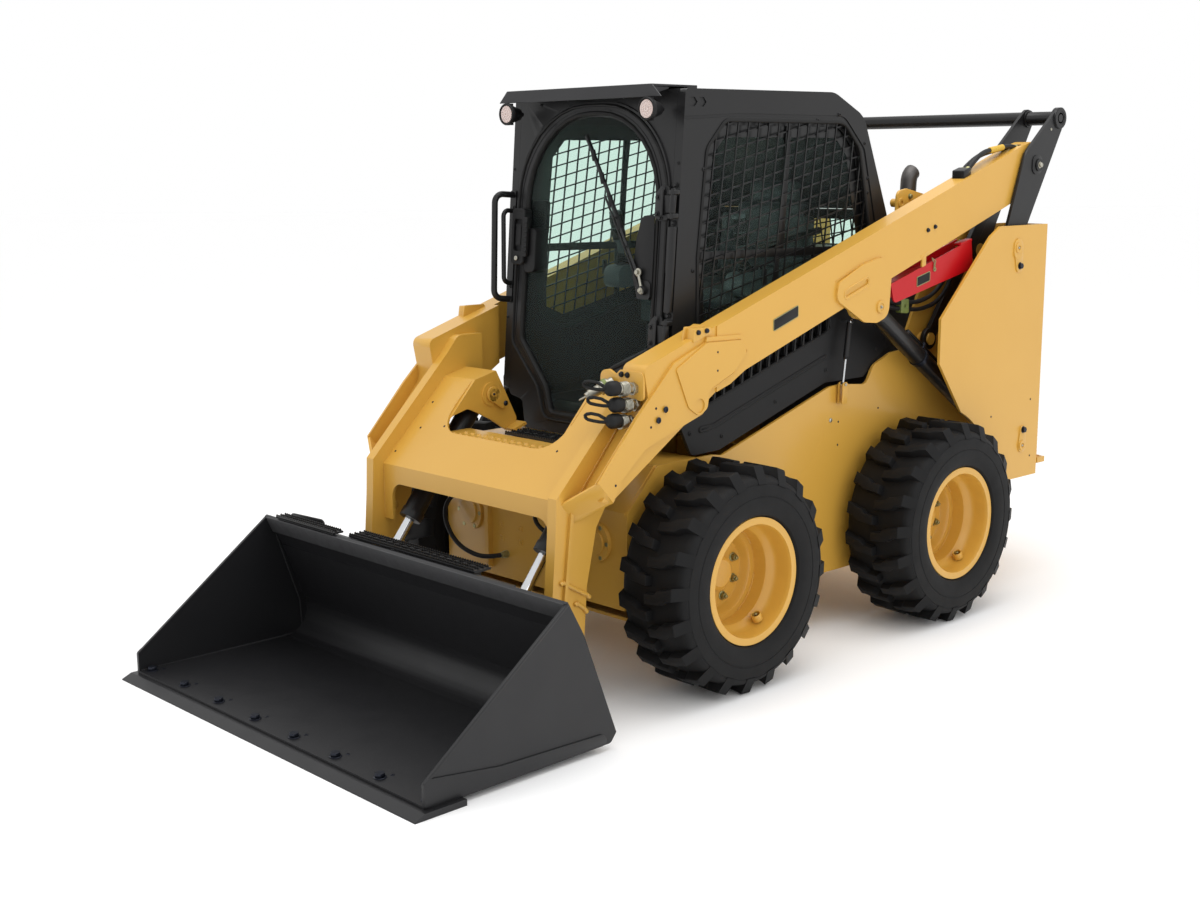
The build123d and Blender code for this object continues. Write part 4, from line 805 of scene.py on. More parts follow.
def rounded(corners, turns=6):
    """A closed outline's points. A corner given as (a, b, radius) is turned by an arc."""
    spots = [Vector(corner[:2]) for corner in corners]
    points = []
    for index, corner in enumerate(corners):
        here = spots[index]
        if len(corner) < 3:
            points.append(here)
            continue
        back = (spots[index - 1] - here).normalized()
        ahead = (spots[(index + 1) % len(spots)] - here).normalized()
        half = back.angle(ahead) / 2
        centre = here + (back + ahead).normalized() * corner[2] / math.sin(half)
        first = here + back * corner[2] / math.tan(half) - centre
        last = here + ahead * corner[2] / math.tan(half) - centre
        sweep = math.pi - 2 * half
        for step in range(turns + 1):
            share = step / turns
            spot = first * math.sin((1 - share) * sweep) + last * math.sin(share * sweep)
            points.append(centre + spot / math.sin(sweep))
    return points


def inset(corners, amount):
    """The outline moved inward, with its corner radii kept in step."""
    spots = [Vector(corner[:2]) for corner in corners]
    area = sum(a.x * b.y - b.x * a.y for a, b in zip(spots, spots[1:] + spots[:1]))
    hand = 1 if area > 0 else -1
    result = []
    for index, corner in enumerate(corners):
        here = spots[index]
        before = (here - spots[index - 1]).normalized()
        after = (spots[(index + 1) % len(spots)] - here).normalized()
        inner = Vector((-before.y, before.x)) * hand
        outer = Vector((-after.y, after.x)) * hand
        moved = here + (inner + outer) * amount / (1 + inner.dot(outer))
        if len(corner) < 3:
            result.append((moved.x, moved.y))
            continue
        outward = (before.x * after.y - before.y * after.x) * hand > 0
        result.append((moved.x, moved.y, max(1.0, corner[2] + (-amount if outward else amount))))
    return result


def add_loop(shape, corners, section, place, turns=6):
    """Adds a closed moulding that follows an outline. Its section is (inward, out from the face)."""
    part = bmesh.new()
    rings = []
    for inward, out in section:
        spots = rounded(inset(corners, inward), turns)
        rings.append([part.verts.new(place(spot.x, spot.y, out)) for spot in spots])
    count = len(rings[0])
    for near, far in zip(rings, rings[1:] + rings[:1]):
        for index in range(count):
            following = (index + 1) % count
            part.faces.new((near[index], near[following], far[following], far[index]))
    face_outwards(part)
    merge(shape, part)


def add_plate(shape, corners, low, high, place, edge=1.2, turns=4):
    """Adds a plate of some outline between two distances out from a face."""
    base = [place(spot.x, spot.y, low) for spot in rounded(corners, turns)]
    add_slab(shape, base, place(0, 0, high) - place(0, 0, low), edge)


def add_rod(shape, start, end, radius, steps=16, edge=1.0):
    """Adds a round bar with eased ends between two points."""
    span = end - start
    length = span.length / MM
    profile = [(0, 0), (0, radius - edge), (edge, radius)]
    profile += [(length - edge, radius), (length, radius - edge), (length, 0)]
    add_turned(shape, profile, start, span, steps)


def add_bar(shape, points, radius, steps=16, edge=1.0):
    """Adds a bent round bar, straight between its points."""
    for start, end in zip(points, points[1:]):
        add_rod(shape, start, end, radius, steps, edge)


def add_ring(shape, place, direction, inner, outer, height):
    """Adds a raised ring with rounded shoulders, its foot sunk a little in the face."""
    shoulder = min(1.2, height * 0.4)
    profile = [(-1, inner), (-1, outer), (height - shoulder, outer), (height, outer - shoulder)]
    profile += [(height, inner + shoulder), (height - shoulder, inner)]
    add_turned(shape, profile, place, direction, 28, ring=True)


def add_weld(shape, points, radius=4.0, pitch=6.5):
    """Adds a run of weld along a line: overlapping drops."""
    for start, end in zip(points, points[1:]):
        span = end - start
        count = max(1, round(span.length / (pitch * MM)))
        for index in range(count):
            add_drop(shape, start + span * (index + 0.5) / count, radius)


def add_saw(shape, x_low, x_high, station, base):
    """Adds a strip whose top edge is cut into rounded teeth."""
    pitch, height, thick = 13, 9, 4
    line = [(x_low, base - 6), (x_low, base)]
    for index in range(round((x_high - x_low) / pitch)):
        tooth = x_low + index * pitch
        line += [(tooth + 2, base + height * 0.75), (tooth + 4.5, base + height)]
        line += [(tooth + 8, base + height * 0.8), (tooth + 10, base + 1.5)]
    line += [(x_high, base), (x_high, base - 6)]
    add_plate(shape, line, 0, thick, facing(station), 0)


def add_pipe(shape, path, radius, wall, steps=28):
    """Adds an open pipe along a path in a plane of constant x, with a wall to look into."""
    spans = [(end - start).normalized() for start, end in zip(path, path[1:])]
    ways = [spans[0]] + [(a + b).normalized() for a, b in zip(spans, spans[1:])] + [spans[-1]]
    stops = list(zip(path, ways))
    across = Vector((1, 0, 0))
    turns = [FULL_TURN * index / steps for index in range(steps)]
    rings = []
    for reach, walk in ((radius * MM, stops), ((radius - wall) * MM, stops[::-1])):
        for centre, way in walk:
            up = way.cross(across)
            ring = [centre + (across * math.cos(turn) + up * math.sin(turn)) * reach for turn in turns]
            rings.append([shape.verts.new(corner) for corner in ring])
    faces = []
    for near, far in zip(rings, rings[1:] + rings[:1]):
        for index in range(steps):
            following = (index + 1) % steps
            corners = (near[index], near[following], far[following], far[index])
            faces.append(shape.faces.new(corners))
    bmesh.ops.recalc_face_normals(shape, faces=faces)


# ---- cab: glass, seals, hinges and trim --------------------------------------------------------------

DOOR_OUTLINE = [
    (-198, 869, 45),
    (-240, 985, 110),
    (-402, 1146, 50),
    (-398, 1500),
    (-396, 2040, 350),
    (396, 2040, 350),
    (400, 1150, 50),
    (170, 1040, 70),
    (164, 869, 40),
]
DOOR_PANE = [
    (-168, 888, 35),
    (-200, 985, 110),
    (-358, 1160, 50),
    (-354, 1500),
    (-354, 2016, 330),
    (354, 2016, 330),
    (358, 1172, 50),
    (128, 1070, 70),
    (122, 888, 35),
]
SIDE_WINDOW = [
    (104, 1498, 30),
    (150, 1880, 60),
    (246, 1979, 60),
    (931, 1979, 90),
    (1030, 1881, 70),
    (1108, 1540, 60),
    (1000, 1346, 80),
    (250, 1170, 60),
    (104, 1230, 50),
]
PANE_FACE = 425.8  # the side pane's outer face, out from the middle plane

gasket = bmesh.new()
lip = [(-3, 2), (-3, 8), (1, 11), (7, 11), (12, 7), (14, 1), (14, -3.5), (-1, -3.5)]
add_loop(gasket, DOOR_PANE, lip, front, 8)
hand_over(keep(gasket, "door_glass_gasket"), "cab_door", "rubber_black")
border = bmesh.new()
add_loop(border, DOOR_PANE, [(4, -3.4), (18, -3.4), (18, -3.9), (4, -3.9)], front, 8)
hand_over(keep(border, "door_glass_border"), "cab_door", "rubber_black", ceramic_border)
bulb = bmesh.new()
add_loop(bulb, DOOR_OUTLINE, [(-5, -2), (-6, 4), (-4, 9), (0, 11), (4, 9), (6, 4), (5, -2)], front, 8)
hand_over(keep(bulb, "door_edge_seal"), "chassis", "rubber_black")

LARGE_STUDS = [(765, 1985), (895, 2008), (1085, 1765), (1083, 1710), (133, 1807), (79, 1454), (240, 1146)]
SMALL_STUDS = [(330, 1176), (620, 1250), (905, 1322), (1046, 1420), (1060, 1900)]
seals, borders, sashes, studs = bmesh.new(), bmesh.new(), bmesh.new(), bmesh.new()
for side in (1, -1):
    spot = side_of(side)
    out = Vector((side, 0, 0))
    lip = [(-7, CAB_HALF - 1), (-7, CAB_HALF + 3), (-3, CAB_HALF + 5), (3, CAB_HALF + 5), (6, CAB_HALF + 2)]
    lip += [(6, CAB_HALF - 14), (-1, CAB_HALF - 14)]
    add_loop(seals, SIDE_WINDOW, lip, spot, 7)
    add_loop(borders, SIDE_WINDOW, [(1, 425.2), (58, 425.2), (58, 425.6), (1, 425.6)], spot, 7)
    # The sliding pane's frame: a rail, two stiles and the pull.
    add_plate(sashes, [(108, 1519), (1092, 1504), (1092, 1474), (108, 1489)], PANE_FACE, 434, spot)
    add_plate(sashes, [(566, 1500), (606, 1976), (636, 1976), (596, 1500)], PANE_FACE, 433, spot)
    add_plate(sashes, [(540, 1182), (548, 1490), (574, 1490), (566, 1184)], PANE_FACE, 433, spot)
    add_plate(sashes, box(480, 500, 1380, 1440, 6), PANE_FACE, 436, spot)
    for place in LARGE_STUDS:
        add_button(studs, spot(*place, CAB_HALF), out, 7.5, 5)
    for place in SMALL_STUDS:
        add_button(studs, spot(*place, CAB_HALF), out, 6, 4)
hand_over(keep(seals, "side_window_seals"), "chassis", "rubber_black")
hand_over(keep(borders, "side_window_borders"), "chassis", "rubber_black", ceramic_border)
hand_over(keep(sashes, "side_window_sashes"), "chassis", "black_paint")

# Hinges: a cast leaf on the door and one on the pillar, each bolted, with the cover strip between them.
leaves, pillars = bmesh.new(), bmesh.new()
for height in (1236, 1690):
    leaf = [(346, height - 52, 10), (346, height + 34, 16), (372, height + 62, 12), (412, height + 62, 10)]
    leaf += [(412, height + 30, 4), (398, height + 30), (398, height - 34), (412, height - 34, 4)]
    leaf += [(412, height - 58, 10)]
    add_plate(leaves, leaf, 5, 15, front, 2)
    add_plate(leaves, box(384, 396, height - 40, height + 48, 4), 14, 27, front, 2)
    for x, up in ((360, -36), (360, 22), (392, 52), (376, -50)):
        add_hex_bolt(leaves, front(x, height + up, 15), FORWARDS, 13, 7, 10)
    for low in (height + 32, height - 50):
        add_plate(pillars, box(424, 453, low, low + 18, 5), 2, 30, front, 3)
        add_rod(pillars, front(440, low - 3, 22), front(440, low + 22, 22), 8)
    for up in (64, -66):
        add_hex_bolt(pillars, front(430, height + up, 1), FORWARDS, 13, 8, 10)
add_plate(pillars, box(419, 449, 1312, 1612, 4), 3, 19, front, 3)
hand_over(keep(leaves, "door_hinge_leaves"), "cab_door", "black_paint")
hand_over(keep(pillars, "pillar_hinge_parts"), "chassis", "black_paint")

# The wiper's motor shield, its linkage, the claws that hold its rubber and the clips on its arm.
WIPER_PIVOT = (318, 1385)
WIPER_TOP = (110, 1720)
CRANK_PIVOT = (296, 1448)
BLADE_FOOT = (192, 1588)
BLADE_TOP = (-20, 1930)
shield = bmesh.new()
plate_of_motor = [(280, 1360, 26), (252, 1430, 40), (262, 1560, 60), (286, 1646, 26), (348, 1652, 12)]
plate_of_motor += [(352, 1560), (352, 1360, 10)]
add_plate(shield, plate_of_motor, 12.2, 15.5, front, 1)
hand_over(keep(shield, "wiper_motor_shield"), "cab_door", "black_plastic")
links = bmesh.new()
boss = [(0, 0), (0, 15), (6, 15), (8, 12), (8, 8), (16, 8), (17, 6), (17, 0)]
for pivot in (CRANK_PIVOT, WIPER_PIVOT):
    add_turned(links, boss, front(*pivot, 26), FORWARDS, 20)
add_hex_bolt(links, front(*WIPER_PIVOT, 36), FORWARDS, 13, 8, 11)
add_rod(links, front(*CRANK_PIVOT, 30), front(*WIPER_PIVOT, 30), 5)
hand_over(keep(links, "wiper_linkage"), "cab_door", "zinc_steel")
blade = bmesh.new()
for share in (0.06, 0.3, 0.54, 0.78):
    x, height = Vector(BLADE_FOOT).lerp(BLADE_TOP, share)
    add_rod(blade, front(x + 4, height - 14, 19), front(x - 8, height + 24, 20), 9)
add_rod(blade, front(198, 1580, 9), front(-24, 1938, 12), 3.2)
for share in (0.15, 0.45, 0.75):
    x, height = Vector(WIPER_PIVOT).lerp(WIPER_TOP, share)
    add_rod(blade, front(x - 9, height, 28), front(x + 9, height + 5, 28), 3)
hand_over(keep(blade, "wiper_blade_claws"), "cab_door", "black_plastic")

# The latch: a bezel, an inset flap and its key barrel, and the pull's grip ribs.
latch = bmesh.new()
bezel = [(-3, 30), (-3, 38), (0, 42), (5, 42), (8, 39), (8, 30)]
add_loop(latch, box(-390, -324, 1452, 1658, 13), bezel, front, 5)
add_plate(latch, box(-372, -342, 1524, 1600, 6), 35, 39, front, 1.5)
for index in range(7):
    low = 1496 + index * 18
    add_plate(latch, box(-326, -306, low, low + 8, 2), 41, 44, front, 1)
# The latch's inner case, which passes through the pane.
inner_case = [(-334, 1416, 20), (-334, 1590, 20), (-272, 1586, 20), (-272, 1424, 20)]
add_plate(latch, inner_case, -44, 24, front, 5, 5)
hand_over(keep(latch, "latch_bezel_and_flap"), "cab_door", "black_plastic")
barrel = bmesh.new()
add_ring(barrel, front(-357, 1474, 45), FORWARDS, 3, 9, 3)
add_plate(barrel, box(-359, -355, 1468, 1480), 44, 47, front, 0.4)
hand_over(keep(barrel, "latch_key_barrel"), "cab_door", "zinc_steel")

# The grab handle's feet and the fasteners of the front frame.
FRAME_STUDS = [(-440, 1240), (-440, 1810), (436, 1180), (436, 1830)]
FRAME_STUDS += [(-300, 2048), (-150, 2062), (0, 2064), (150, 2062), (300, 2048)]
for height in (1308, 1360, 1664, 1716):
    add_button(studs, front(-426, height, 5), FORWARDS, 8, 5)
for place in FRAME_STUDS:
    add_button(studs, front(*place, 0), FORWARDS, 6, 4)
hand_over(keep(studs, "cab_fasteners"), "chassis", "black_plastic")

# Work lamps: a rounded bezel, a fluted lens over a bright bowl, and the wires' boots.
LAMP_X = 373
LAMP_HEIGHT = 2015
LAMP_BEZEL = [(-10, 36), (-10, 41), (2, 41), (5, 39), (5, 34.5), (-1, 33), (-1, 31), (-3, 31), (-3, 36)]
LAMP_BOWL = [(0.6, 0), (0.6, 31.5), (1.8, 31.5), (1.8, 20), (1.2, 8), (1.2, 0)]
LAMP_BOOT = [(0, 0), (0, 12), (8, 12), (10, 9), (22, 8), (24, 5), (24, 0)]
bezels, lenses, bowls = bmesh.new(), bmesh.new(), bmesh.new()
for side in (1, -1):
    eye = at(side * LAMP_X, -74, LAMP_HEIGHT)
    add_turned(bezels, LAMP_BEZEL, eye, AHEAD, 40, ring=True)
    add_turned(bowls, LAMP_BOWL, eye, AHEAD, 32)
    for radius, count in ((8, 6), (18, 12), (26.5, 18)):
        for index in range(count):
            turn = FULL_TURN * index / count
            flute = Vector((radius * math.cos(turn), -2.4, radius * math.sin(turn))) * MM
            add_drop(lenses, eye + flute, 4.4, (1, 0.45, 1))
    for index in range(3):
        turn = math.radians(30 + 120 * index)
        screw = Vector((38 * math.cos(turn), -4, 38 * math.sin(turn))) * MM
        add_button(bezels, eye + screw, AHEAD, 2.5, 1.5)
    add_turned(bezels, LAMP_BOOT, at(side * LAMP_X, -16, LAMP_HEIGHT), BACKWARDS, 18)
hand_over(keep(bezels, "lamp_bezels"), "chassis", "black_plastic")
hand_over(keep(bowls, "lamp_bowls"), "chassis", "chrome_rod", lamp_bowl)
hand_over(keep(lenses, "lamp_lens_flutes"), "chassis", "lamp_glass")

# ---- lift arms: plugs, holes, pins, welds ------------------------------------------------------------

# Outer faces of the arm's plates, out from the middle plane.
BEAM_FACE = 640
LEG_FACE = 645
KNEE_FACE = 650
# Round plugs and small holes, as (station, height, face, radius).
ARM_PLUGS = [
    (-263, 1018, KNEE_FACE, 11),
    (-297, 985, KNEE_FACE, 11),
    (-305, 1026, LEG_FACE, 4.5),
    (-329, 965, LEG_FACE, 4.5),
    (-6, 1189, KNEE_FACE, 4),
    (-6, 1125, KNEE_FACE, 4),
    (-494, 791, LEG_FACE, 4.5),
]
# Runs of weld, as (radius, pitch, distance out, points): the overlay, the gusset and the leg's channel.
ARM_WELDS = [
    (2.6, 5, LEG_FACE, [(-60, 1229), (116, 1225), (152, 1180), (86, 1111), (-46, 1059)]),
    (3, 5.5, 641, [(650, 1392), (800, 1449), (928, 1472)]),
    (3, 5.5, 634, [(-575, 806), (-397, 999), (-221, 1167)]),
    (3.5, 6, 533, [(-566, 741), (-330, 1010)]),
    (3.5, 6, 489, [(-606, 722), (-309, 1025)]),
]
PIN_NIPPLE = [(-0.5, 0), (-0.5, 7), (1, 7), (1, 4), (5, 3), (6, 4), (8, 3), (8, 0)]
plugs, rings, beads, nipples = bmesh.new(), bmesh.new(), bmesh.new(), bmesh.new()
for side in (1, -1):
    spot, out = side_of(side), Vector((side, 0, 0))
    for station, height, face, radius in ARM_PLUGS:
        add_button(plugs, spot(station, height, face), out, radius, radius * 0.35)
    for station, height in ((1229, 1563), (1277, 1575)):
        add_hex_bolt(plugs, spot(station, height, BEAM_FACE), out, 13, 6, 9)
    for station, height in ((-96, 1263), (-54, 1266)):
        add_hex_bolt(plugs, spot(station, height, BEAM_FACE), out, 15, 6, 9)
    # Pin ends: a ring let into the plate, the pin's chamfered end and its grease nipple.
    for station, height, face, radius in ((918, 1282, 653.5, 15), (-615, 200, 559, 14)):
        place = spot(station, height, face)
        add_ring(rings, place, out, radius, radius + 9, 3)
        add_turned(nipples, PIN_NIPPLE, place, out, 14)
    for radius, pitch, face, run in ARM_WELDS:
        add_weld(beads, [spot(*point, face) for point in run], radius, pitch)
    # The bracket that stands on the knee's top, with its folded root.
    hook = [(-132, 1226, 4), (-120, 1281, 6), (-22, 1281, 8), (-8, 1262, 4)]
    add_plate(rings, hook, 594, 602, spot, 1.5)
    root = [(-120, 1228, 4), (-112, 1277, 4), (-34, 1277, 4), (-24, 1256, 4)]
    add_plate(rings, root, 601, BEAM_FACE, spot, 2)
hand_over(keep(plugs, "arm_plugs_and_bolts"), "lift_arm", "black_paint", blued_steel)
hand_over(keep(rings, "arm_pin_rings"), "lift_arm", "yellow_paint")
hand_over(keep(beads, "arm_weld_beads"), "lift_arm", "yellow_paint")
hand_over(keep(nipples, "arm_grease_nipples"), "lift_arm", "zinc_steel")

# Blank plates with rims: one on the arm's beam and one on the brace.
left = side_of(1)
signs, edges = bmesh.new(), bmesh.new()
for corners, face in (
    ([(300, 1238, 4), (300, 1276, 4), (434, 1319, 4), (434, 1281, 4)], BEAM_FACE),
    ([(1178, 1345, 3), (1178, 1379, 3), (1262, 1398, 3), (1262, 1364, 3)], 632),
):
    add_plate(signs, corners, face - 0.5, face + 1.2, left, 0.5)
    rim = [(-3, face - 0.5), (-3, face + 1.6), (0, face + 1.9), (0.5, face + 0.5)]
    add_loop(edges, corners, rim, left, 3)
hand_over(keep(signs, "blank_sign_plates"), "lift_arm", "black_plastic")
hand_over(keep(edges, "sign_plate_rims"), "lift_arm", "yellow_paint", yellow_zinc)

# Couplings: knurled sleeves, dust caps with ring pulls and the lobed plate that they pass through.
COUPLING_X = 590
COUPLING_AXIS = Vector((0, -1, 0.04)).normalized()
COUPLINGS = [(-352, 1093, -458), (-340, 1037, -440), (-366, 984, -452)]  # (root, height, tip)
KNURL = [(0, 21), (0, 24), (1.5, 25), (3, 24), (3, 21)]
COLLAR_NUT = [(0, 17), (0, 23), (7, 23), (8, 22), (8, 17)]
DUST_CAP = [(-26, 20), (-26, 23), (-22, 25), (4, 25.5), (12, 24), (20, 18)]
DUST_CAP += [(24, 10), (24, 0), (10, 0), (10, 19)]
# The ring pull, as (across, up) from the cap.
RING_PULL = [(-14, 6), (-40, 12), (-74, 10), (-98, 2), (-104, -7)]
RING_PULL += [(-92, -14), (-66, -13), (-36, -10), (-14, -6)]
BRANCH = [(0, 0), (0, 20), (16, 20), (18, 24), (52, 24), (54, 18), (92, 17), (94, 13), (106, 12), (106, 0)]
manifold, sleeves, caps, green_rings = bmesh.new(), bmesh.new(), bmesh.new(), bmesh.new()
lobed = [(425, 1085, 24), (425, 1140, 26), (470, 1148, 20), (500, 1132, 10), (520, 1150, 14), (632, 1150, 20)]
lobed += [(632, 1050, 16), (540, 1062, 20), (500, 1085, 20)]
on_manifold = facing(-346)
add_plate(manifold, lobed, -4, 6, on_manifold, 2)
for x in (530, 558):
    add_hex_bolt(caps, on_manifold(x, 1135, 6), AHEAD, 15, 7, 10)
hand_over(keep(manifold, "coupling_plate"), "lift_arm", "yellow_paint")
for root, height, tip in COUPLINGS:
    third = (root - tip) / 3
    for index in range(5):
        place = at(COUPLING_X, root - third - 4 - index * third / 5.5, height + 3.4)
        add_turned(sleeves, KNURL, place, COUPLING_AXIS, 30, ring=True)
    add_turned(sleeves, COLLAR_NUT, at(COUPLING_X, root - 8, height), COUPLING_AXIS, 6, ring=True)
    add_turned(caps, DUST_CAP, at(COUPLING_X, tip, height + 10), COUPLING_AXIS, 28)
    # Its strap runs forward and inward to a long ring pull.
    pull = [at(COUPLING_X + x, tip - 22 + x * 0.08, height + 12 + z - x * 0.12) for x, z in RING_PULL]
    add_bar(caps, pull, 5.8, 10, 1.5)
    strap_end = at(COUPLING_X - 18, tip - 24, height + 14)
    add_rod(caps, at(COUPLING_X, tip - 8, height + 10), strap_end, 11, 14, 4)
root, tip = at(488, -352, 1104), at(444, -436, 1060)
branch_axis = (tip - root).normalized()
add_turned(sleeves, BRANCH, root, branch_axis, 28)
add_rod(sleeves, tip, tip + Vector((-24, -10, -14)) * MM, 3, 10)
add_turned(green_rings, [(24, 23), (24, 27), (36, 27), (36, 23)], root, branch_axis, 28, ring=True)
hand_over(keep(sleeves, "coupling_sleeves"), "lift_arm", "zinc_steel")
hand_over(keep(caps, "coupling_dust_caps"), "lift_arm", "rubber_black")
hand_over(keep(green_rings, "coupling_colour_ring"), "lift_arm", "black_plastic", olive_plastic)

# The brace's strap bracket, its clip pin and its end lip.
CLIP_WIRES = [[(1268, 1452), (1296, 1440), (1290, 1412)], [(1270, 1446), (1286, 1434), (1284, 1408)]]
strap, clips = bmesh.new(), bmesh.new()
add_plate(strap, [(1196, 1418, 4), (1196, 1462, 4), (1222, 1470, 4), (1222, 1426, 4)], 633, 642, left, 1.5)
add_plate(strap, [(1186, 1452, 4), (1186, 1468, 4), (1240, 1484, 4), (1240, 1468, 4)], 628, 641, left, 1.5)
hand_over(keep(strap, "brace_strap_bracket"), "lift_arm", "yellow_paint")
add_ring(clips, left(1292, 1406, 632), (1, 0, 0), 4, 9, 5)
for wire in CLIP_WIRES:
    add_bar(clips, [left(*point, 636) for point in wire], 1.8, 8)
hand_over(keep(clips, "brace_clip_pin"), "lift_arm", "zinc_steel", yellow_zinc)
lip = bmesh.new()
add_plate(lip, [(1470, 1492), (1470, 1502), (1552, 1518), (1552, 1508)], 600, 634, left, 1.5)
hand_over(keep(lip, "brace_end_lip"), "lift_arm", "red_paint")

# The long pressed slot on each knee plate, with its raised lip.
pressing = bmesh.new()
knee_slot = [(694, 1358, 14), (844, 1407, 14), (844, 1368, 14), (694, 1321, 14)]
slot_lip = [(-3, 644), (-3, 650.6), (-1, 652.4), (2, 652), (4, 650), (4, 644)]
for side in (1, -1):
    add_loop(pressing, knee_slot, slot_lip, side_of(side), 8)
hand_over(keep(pressing, "knee_plate_slots"), "lift_arm", "yellow_paint")

# ---- towers, rear link, lift barrels and chassis side ------------------------------------------------

TOWER_FACE = 689
TUB_FACE = 500
STRUT_FOOT = (863, 976)
STRUT_HEAD = (898, 1221)
# Tower pin retainers, as (outline, pin, bolt).
TOWER_RETAINERS = [
    ([(1768, 1510, 33), (1842, 1510, 33), (1846, 1372, 19), (1802, 1368, 19)], (1806, 1472), (1822, 1396)),
    ([(1866, 594, 28), (1930, 588, 28), (1922, 708, 16), (1884, 708, 16)], (1897, 622), (1902, 690)),
]
# Runs of seam, as (radius, pitch, distance out, points): the tub's arched edge, its rear edge, and where
# the tower's outer panel meets its rear plate.
SEAMS = [
    (1.6, 3.5, 499.2, [(560, 640), (640, 655), (715, 700), (765, 770), (790, 850)]),
    (1.6, 3.5, 499.2, [(1360, 740), (1310, 880), (1296, 1000)]),
    (2.6, 6, 688, [(2030, 560), (2030, 1540)]),
]
retainers, dark_bolts, seams, bright = bmesh.new(), bmesh.new(), bmesh.new(), bmesh.new()
for side in (1, -1):
    spot, out = side_of(side), Vector((side, 0, 0))
    retainer_face = TOWER_FACE + 6
    for outline, pin, bolt in TOWER_RETAINERS:
        add_plate(retainers, outline, TOWER_FACE, retainer_face, spot, 0.9, 7)
        add_ring(retainers, spot(*pin, retainer_face), out, 10, 22, 5)
        add_nipple(bright, spot(*pin, retainer_face), out)
        add_hex_bolt(dark_bolts, spot(*bolt, retainer_face), out, 22, 10, 15)
    for station, height in ((1655, 774), (1958, 816), (1970, 567)):
        add_button(dark_bolts, spot(station, height, TOWER_FACE + 1), out, 4.5, 1.6)
    for station, height in ((866, 825), (864, 733), (1124, 851)):
        add_button(dark_bolts, spot(station, height, TUB_FACE), out, 4.5, 1.6)
    add_button(bright, spot(816, 837, TUB_FACE), out, 9, 6)
    # The gas strut's clevis on the chassis and its pin.
    ear = [(846, 900, 4), (848, 985, 12), (880, 985, 12), (880, 900, 4)]
    for low in (508, 528):
        add_plate(retainers, ear, low, low + 5, spot, 1)
    add_rod(bright, spot(*STRUT_FOOT, TUB_FACE), spot(*STRUT_FOOT, TUB_FACE + 38), 6)
    for radius, pitch, face, run in SEAMS:
        add_weld(seams, [spot(*point, face) for point in run], radius, pitch)
hand_over(keep(retainers, "tower_pin_retainers"), "chassis", "yellow_paint")
hand_over(keep(dark_bolts, "side_panel_bolts"), "chassis", "black_paint", blued_steel)
hand_over(keep(seams, "panel_seams"), "chassis", "yellow_paint")
hand_over(keep(bright, "side_nipples_and_pins"), "chassis", "zinc_steel")

LINK_PIN = (1988, 1811)
LINK_TUBE = (2143, 2007)
link_rings, link_bolts, tube_rims = bmesh.new(), bmesh.new(), bmesh.new()
for side in (1, -1):
    spot, out = side_of(side), Vector((side, 0, 0))
    retainer = [(1940, 1852, 30), (2016, 1852, 30), (2016, 1772, 30), (1940, 1772, 30)]
    add_plate(link_rings, retainer, 659, 664, spot, 1.5, 8)
    add_ring(link_rings, spot(*LINK_PIN, 667), out, 17, 27, 3)
    add_hex_bolt(link_bolts, spot(*LINK_PIN, 668), out, 19, 9, 14)
    add_ring(tube_rims, spot(*LINK_TUBE, 664), out, 29, 44, 4)
    add_ring(tube_rims, spot(*LINK_TUBE, 664), out, 16, 24, 2)
    add_button(link_bolts, spot(2080, 1960, 660), out, 6, 3)
    for low in (514, 657):
        add_ring(tube_rims, spot(*LINK_TUBE, low), -out, 30, 37, 6)
hand_over(keep(link_rings, "link_pin_retainers"), "rear_link", "black_paint")
hand_over(keep(tube_rims, "link_tube_rims"), "rear_link", "black_paint")
hand_over(keep(link_bolts, "link_pin_bolts"), "rear_link", "zinc_steel")

# The steel pipe along each lift barrel, in two clamps, with its elbow blocks.
BARREL_X = 595
BARREL_FOOT = (1896, 623)
BARREL_RUN = Vector((0, -0.829301, 0.558803))
BARREL_UP = Vector((0, 0.558803, 0.829301))
CLAMP_BAND = [(0, 36.5), (0, 40), (1, 41), (17, 41), (18, 40), (18, 36.5)]


def on_barrel(side, along, out):
    """A point above a lift barrel's axis, measured up the barrel from its foot pin."""
    return at(side * BARREL_X, *BARREL_FOOT) + (BARREL_RUN * along + BARREL_UP * out) * MM


pipes, bands = bmesh.new(), bmesh.new()
for side in (1, -1):
    add_rod(pipes, on_barrel(side, 170, 50), on_barrel(side, 900, 50), 6.5, 14, 2)
    for along in (896, 174):
        add_rod(pipes, on_barrel(side, along, 52), on_barrel(side, along, 34), 10, 14, 2)
    for along in (330, 760):
        add_turned(bands, CLAMP_BAND, on_barrel(side, along, 0), BARREL_RUN, 32, ring=True)
        add_rod(bands, on_barrel(side, along + 9, 38), on_barrel(side, along + 9, 60), 10, 14, 2)
        add_hex_bolt(bands, on_barrel(side, along + 9, 60), BARREL_UP, 11, 5, 8)
hand_over(keep(pipes, "lift_barrel_pipes"), "lift_barrels", "black_paint")
hand_over(keep(bands, "lift_barrel_clamps"), "lift_barrels", "black_paint", blued_steel)

# ---- cross member, legs and chassis front ------------------------------------------------------------

SLOPE_RISE = Vector((0, 303, 302)).normalized()
SLOPE_OUT = Vector((0, -302, 303)).normalized()
SLOPE_SOCKETS = [(-423, 180), (-300, 205), (337, 190), (-470, 60), (470, 60), (455, 300), (-455, 300)]
TILT_PIN = (-229, 970)
# Bent half-round bars that guard the leg's foot.
GUARD_BARS = [
    [(-646, 462), (-634, 468), (-560, 424), (-526, 406), (-513, 394)],
    [(-583, 380), (-572, 386), (-540, 362), (-525, 344)],
]


def on_slope(x, along):
    """A point on the cross member's sloping sheet, measured up the slope from its lower bend."""
    return at(x, -609, 729) + SLOPE_RISE * along * MM


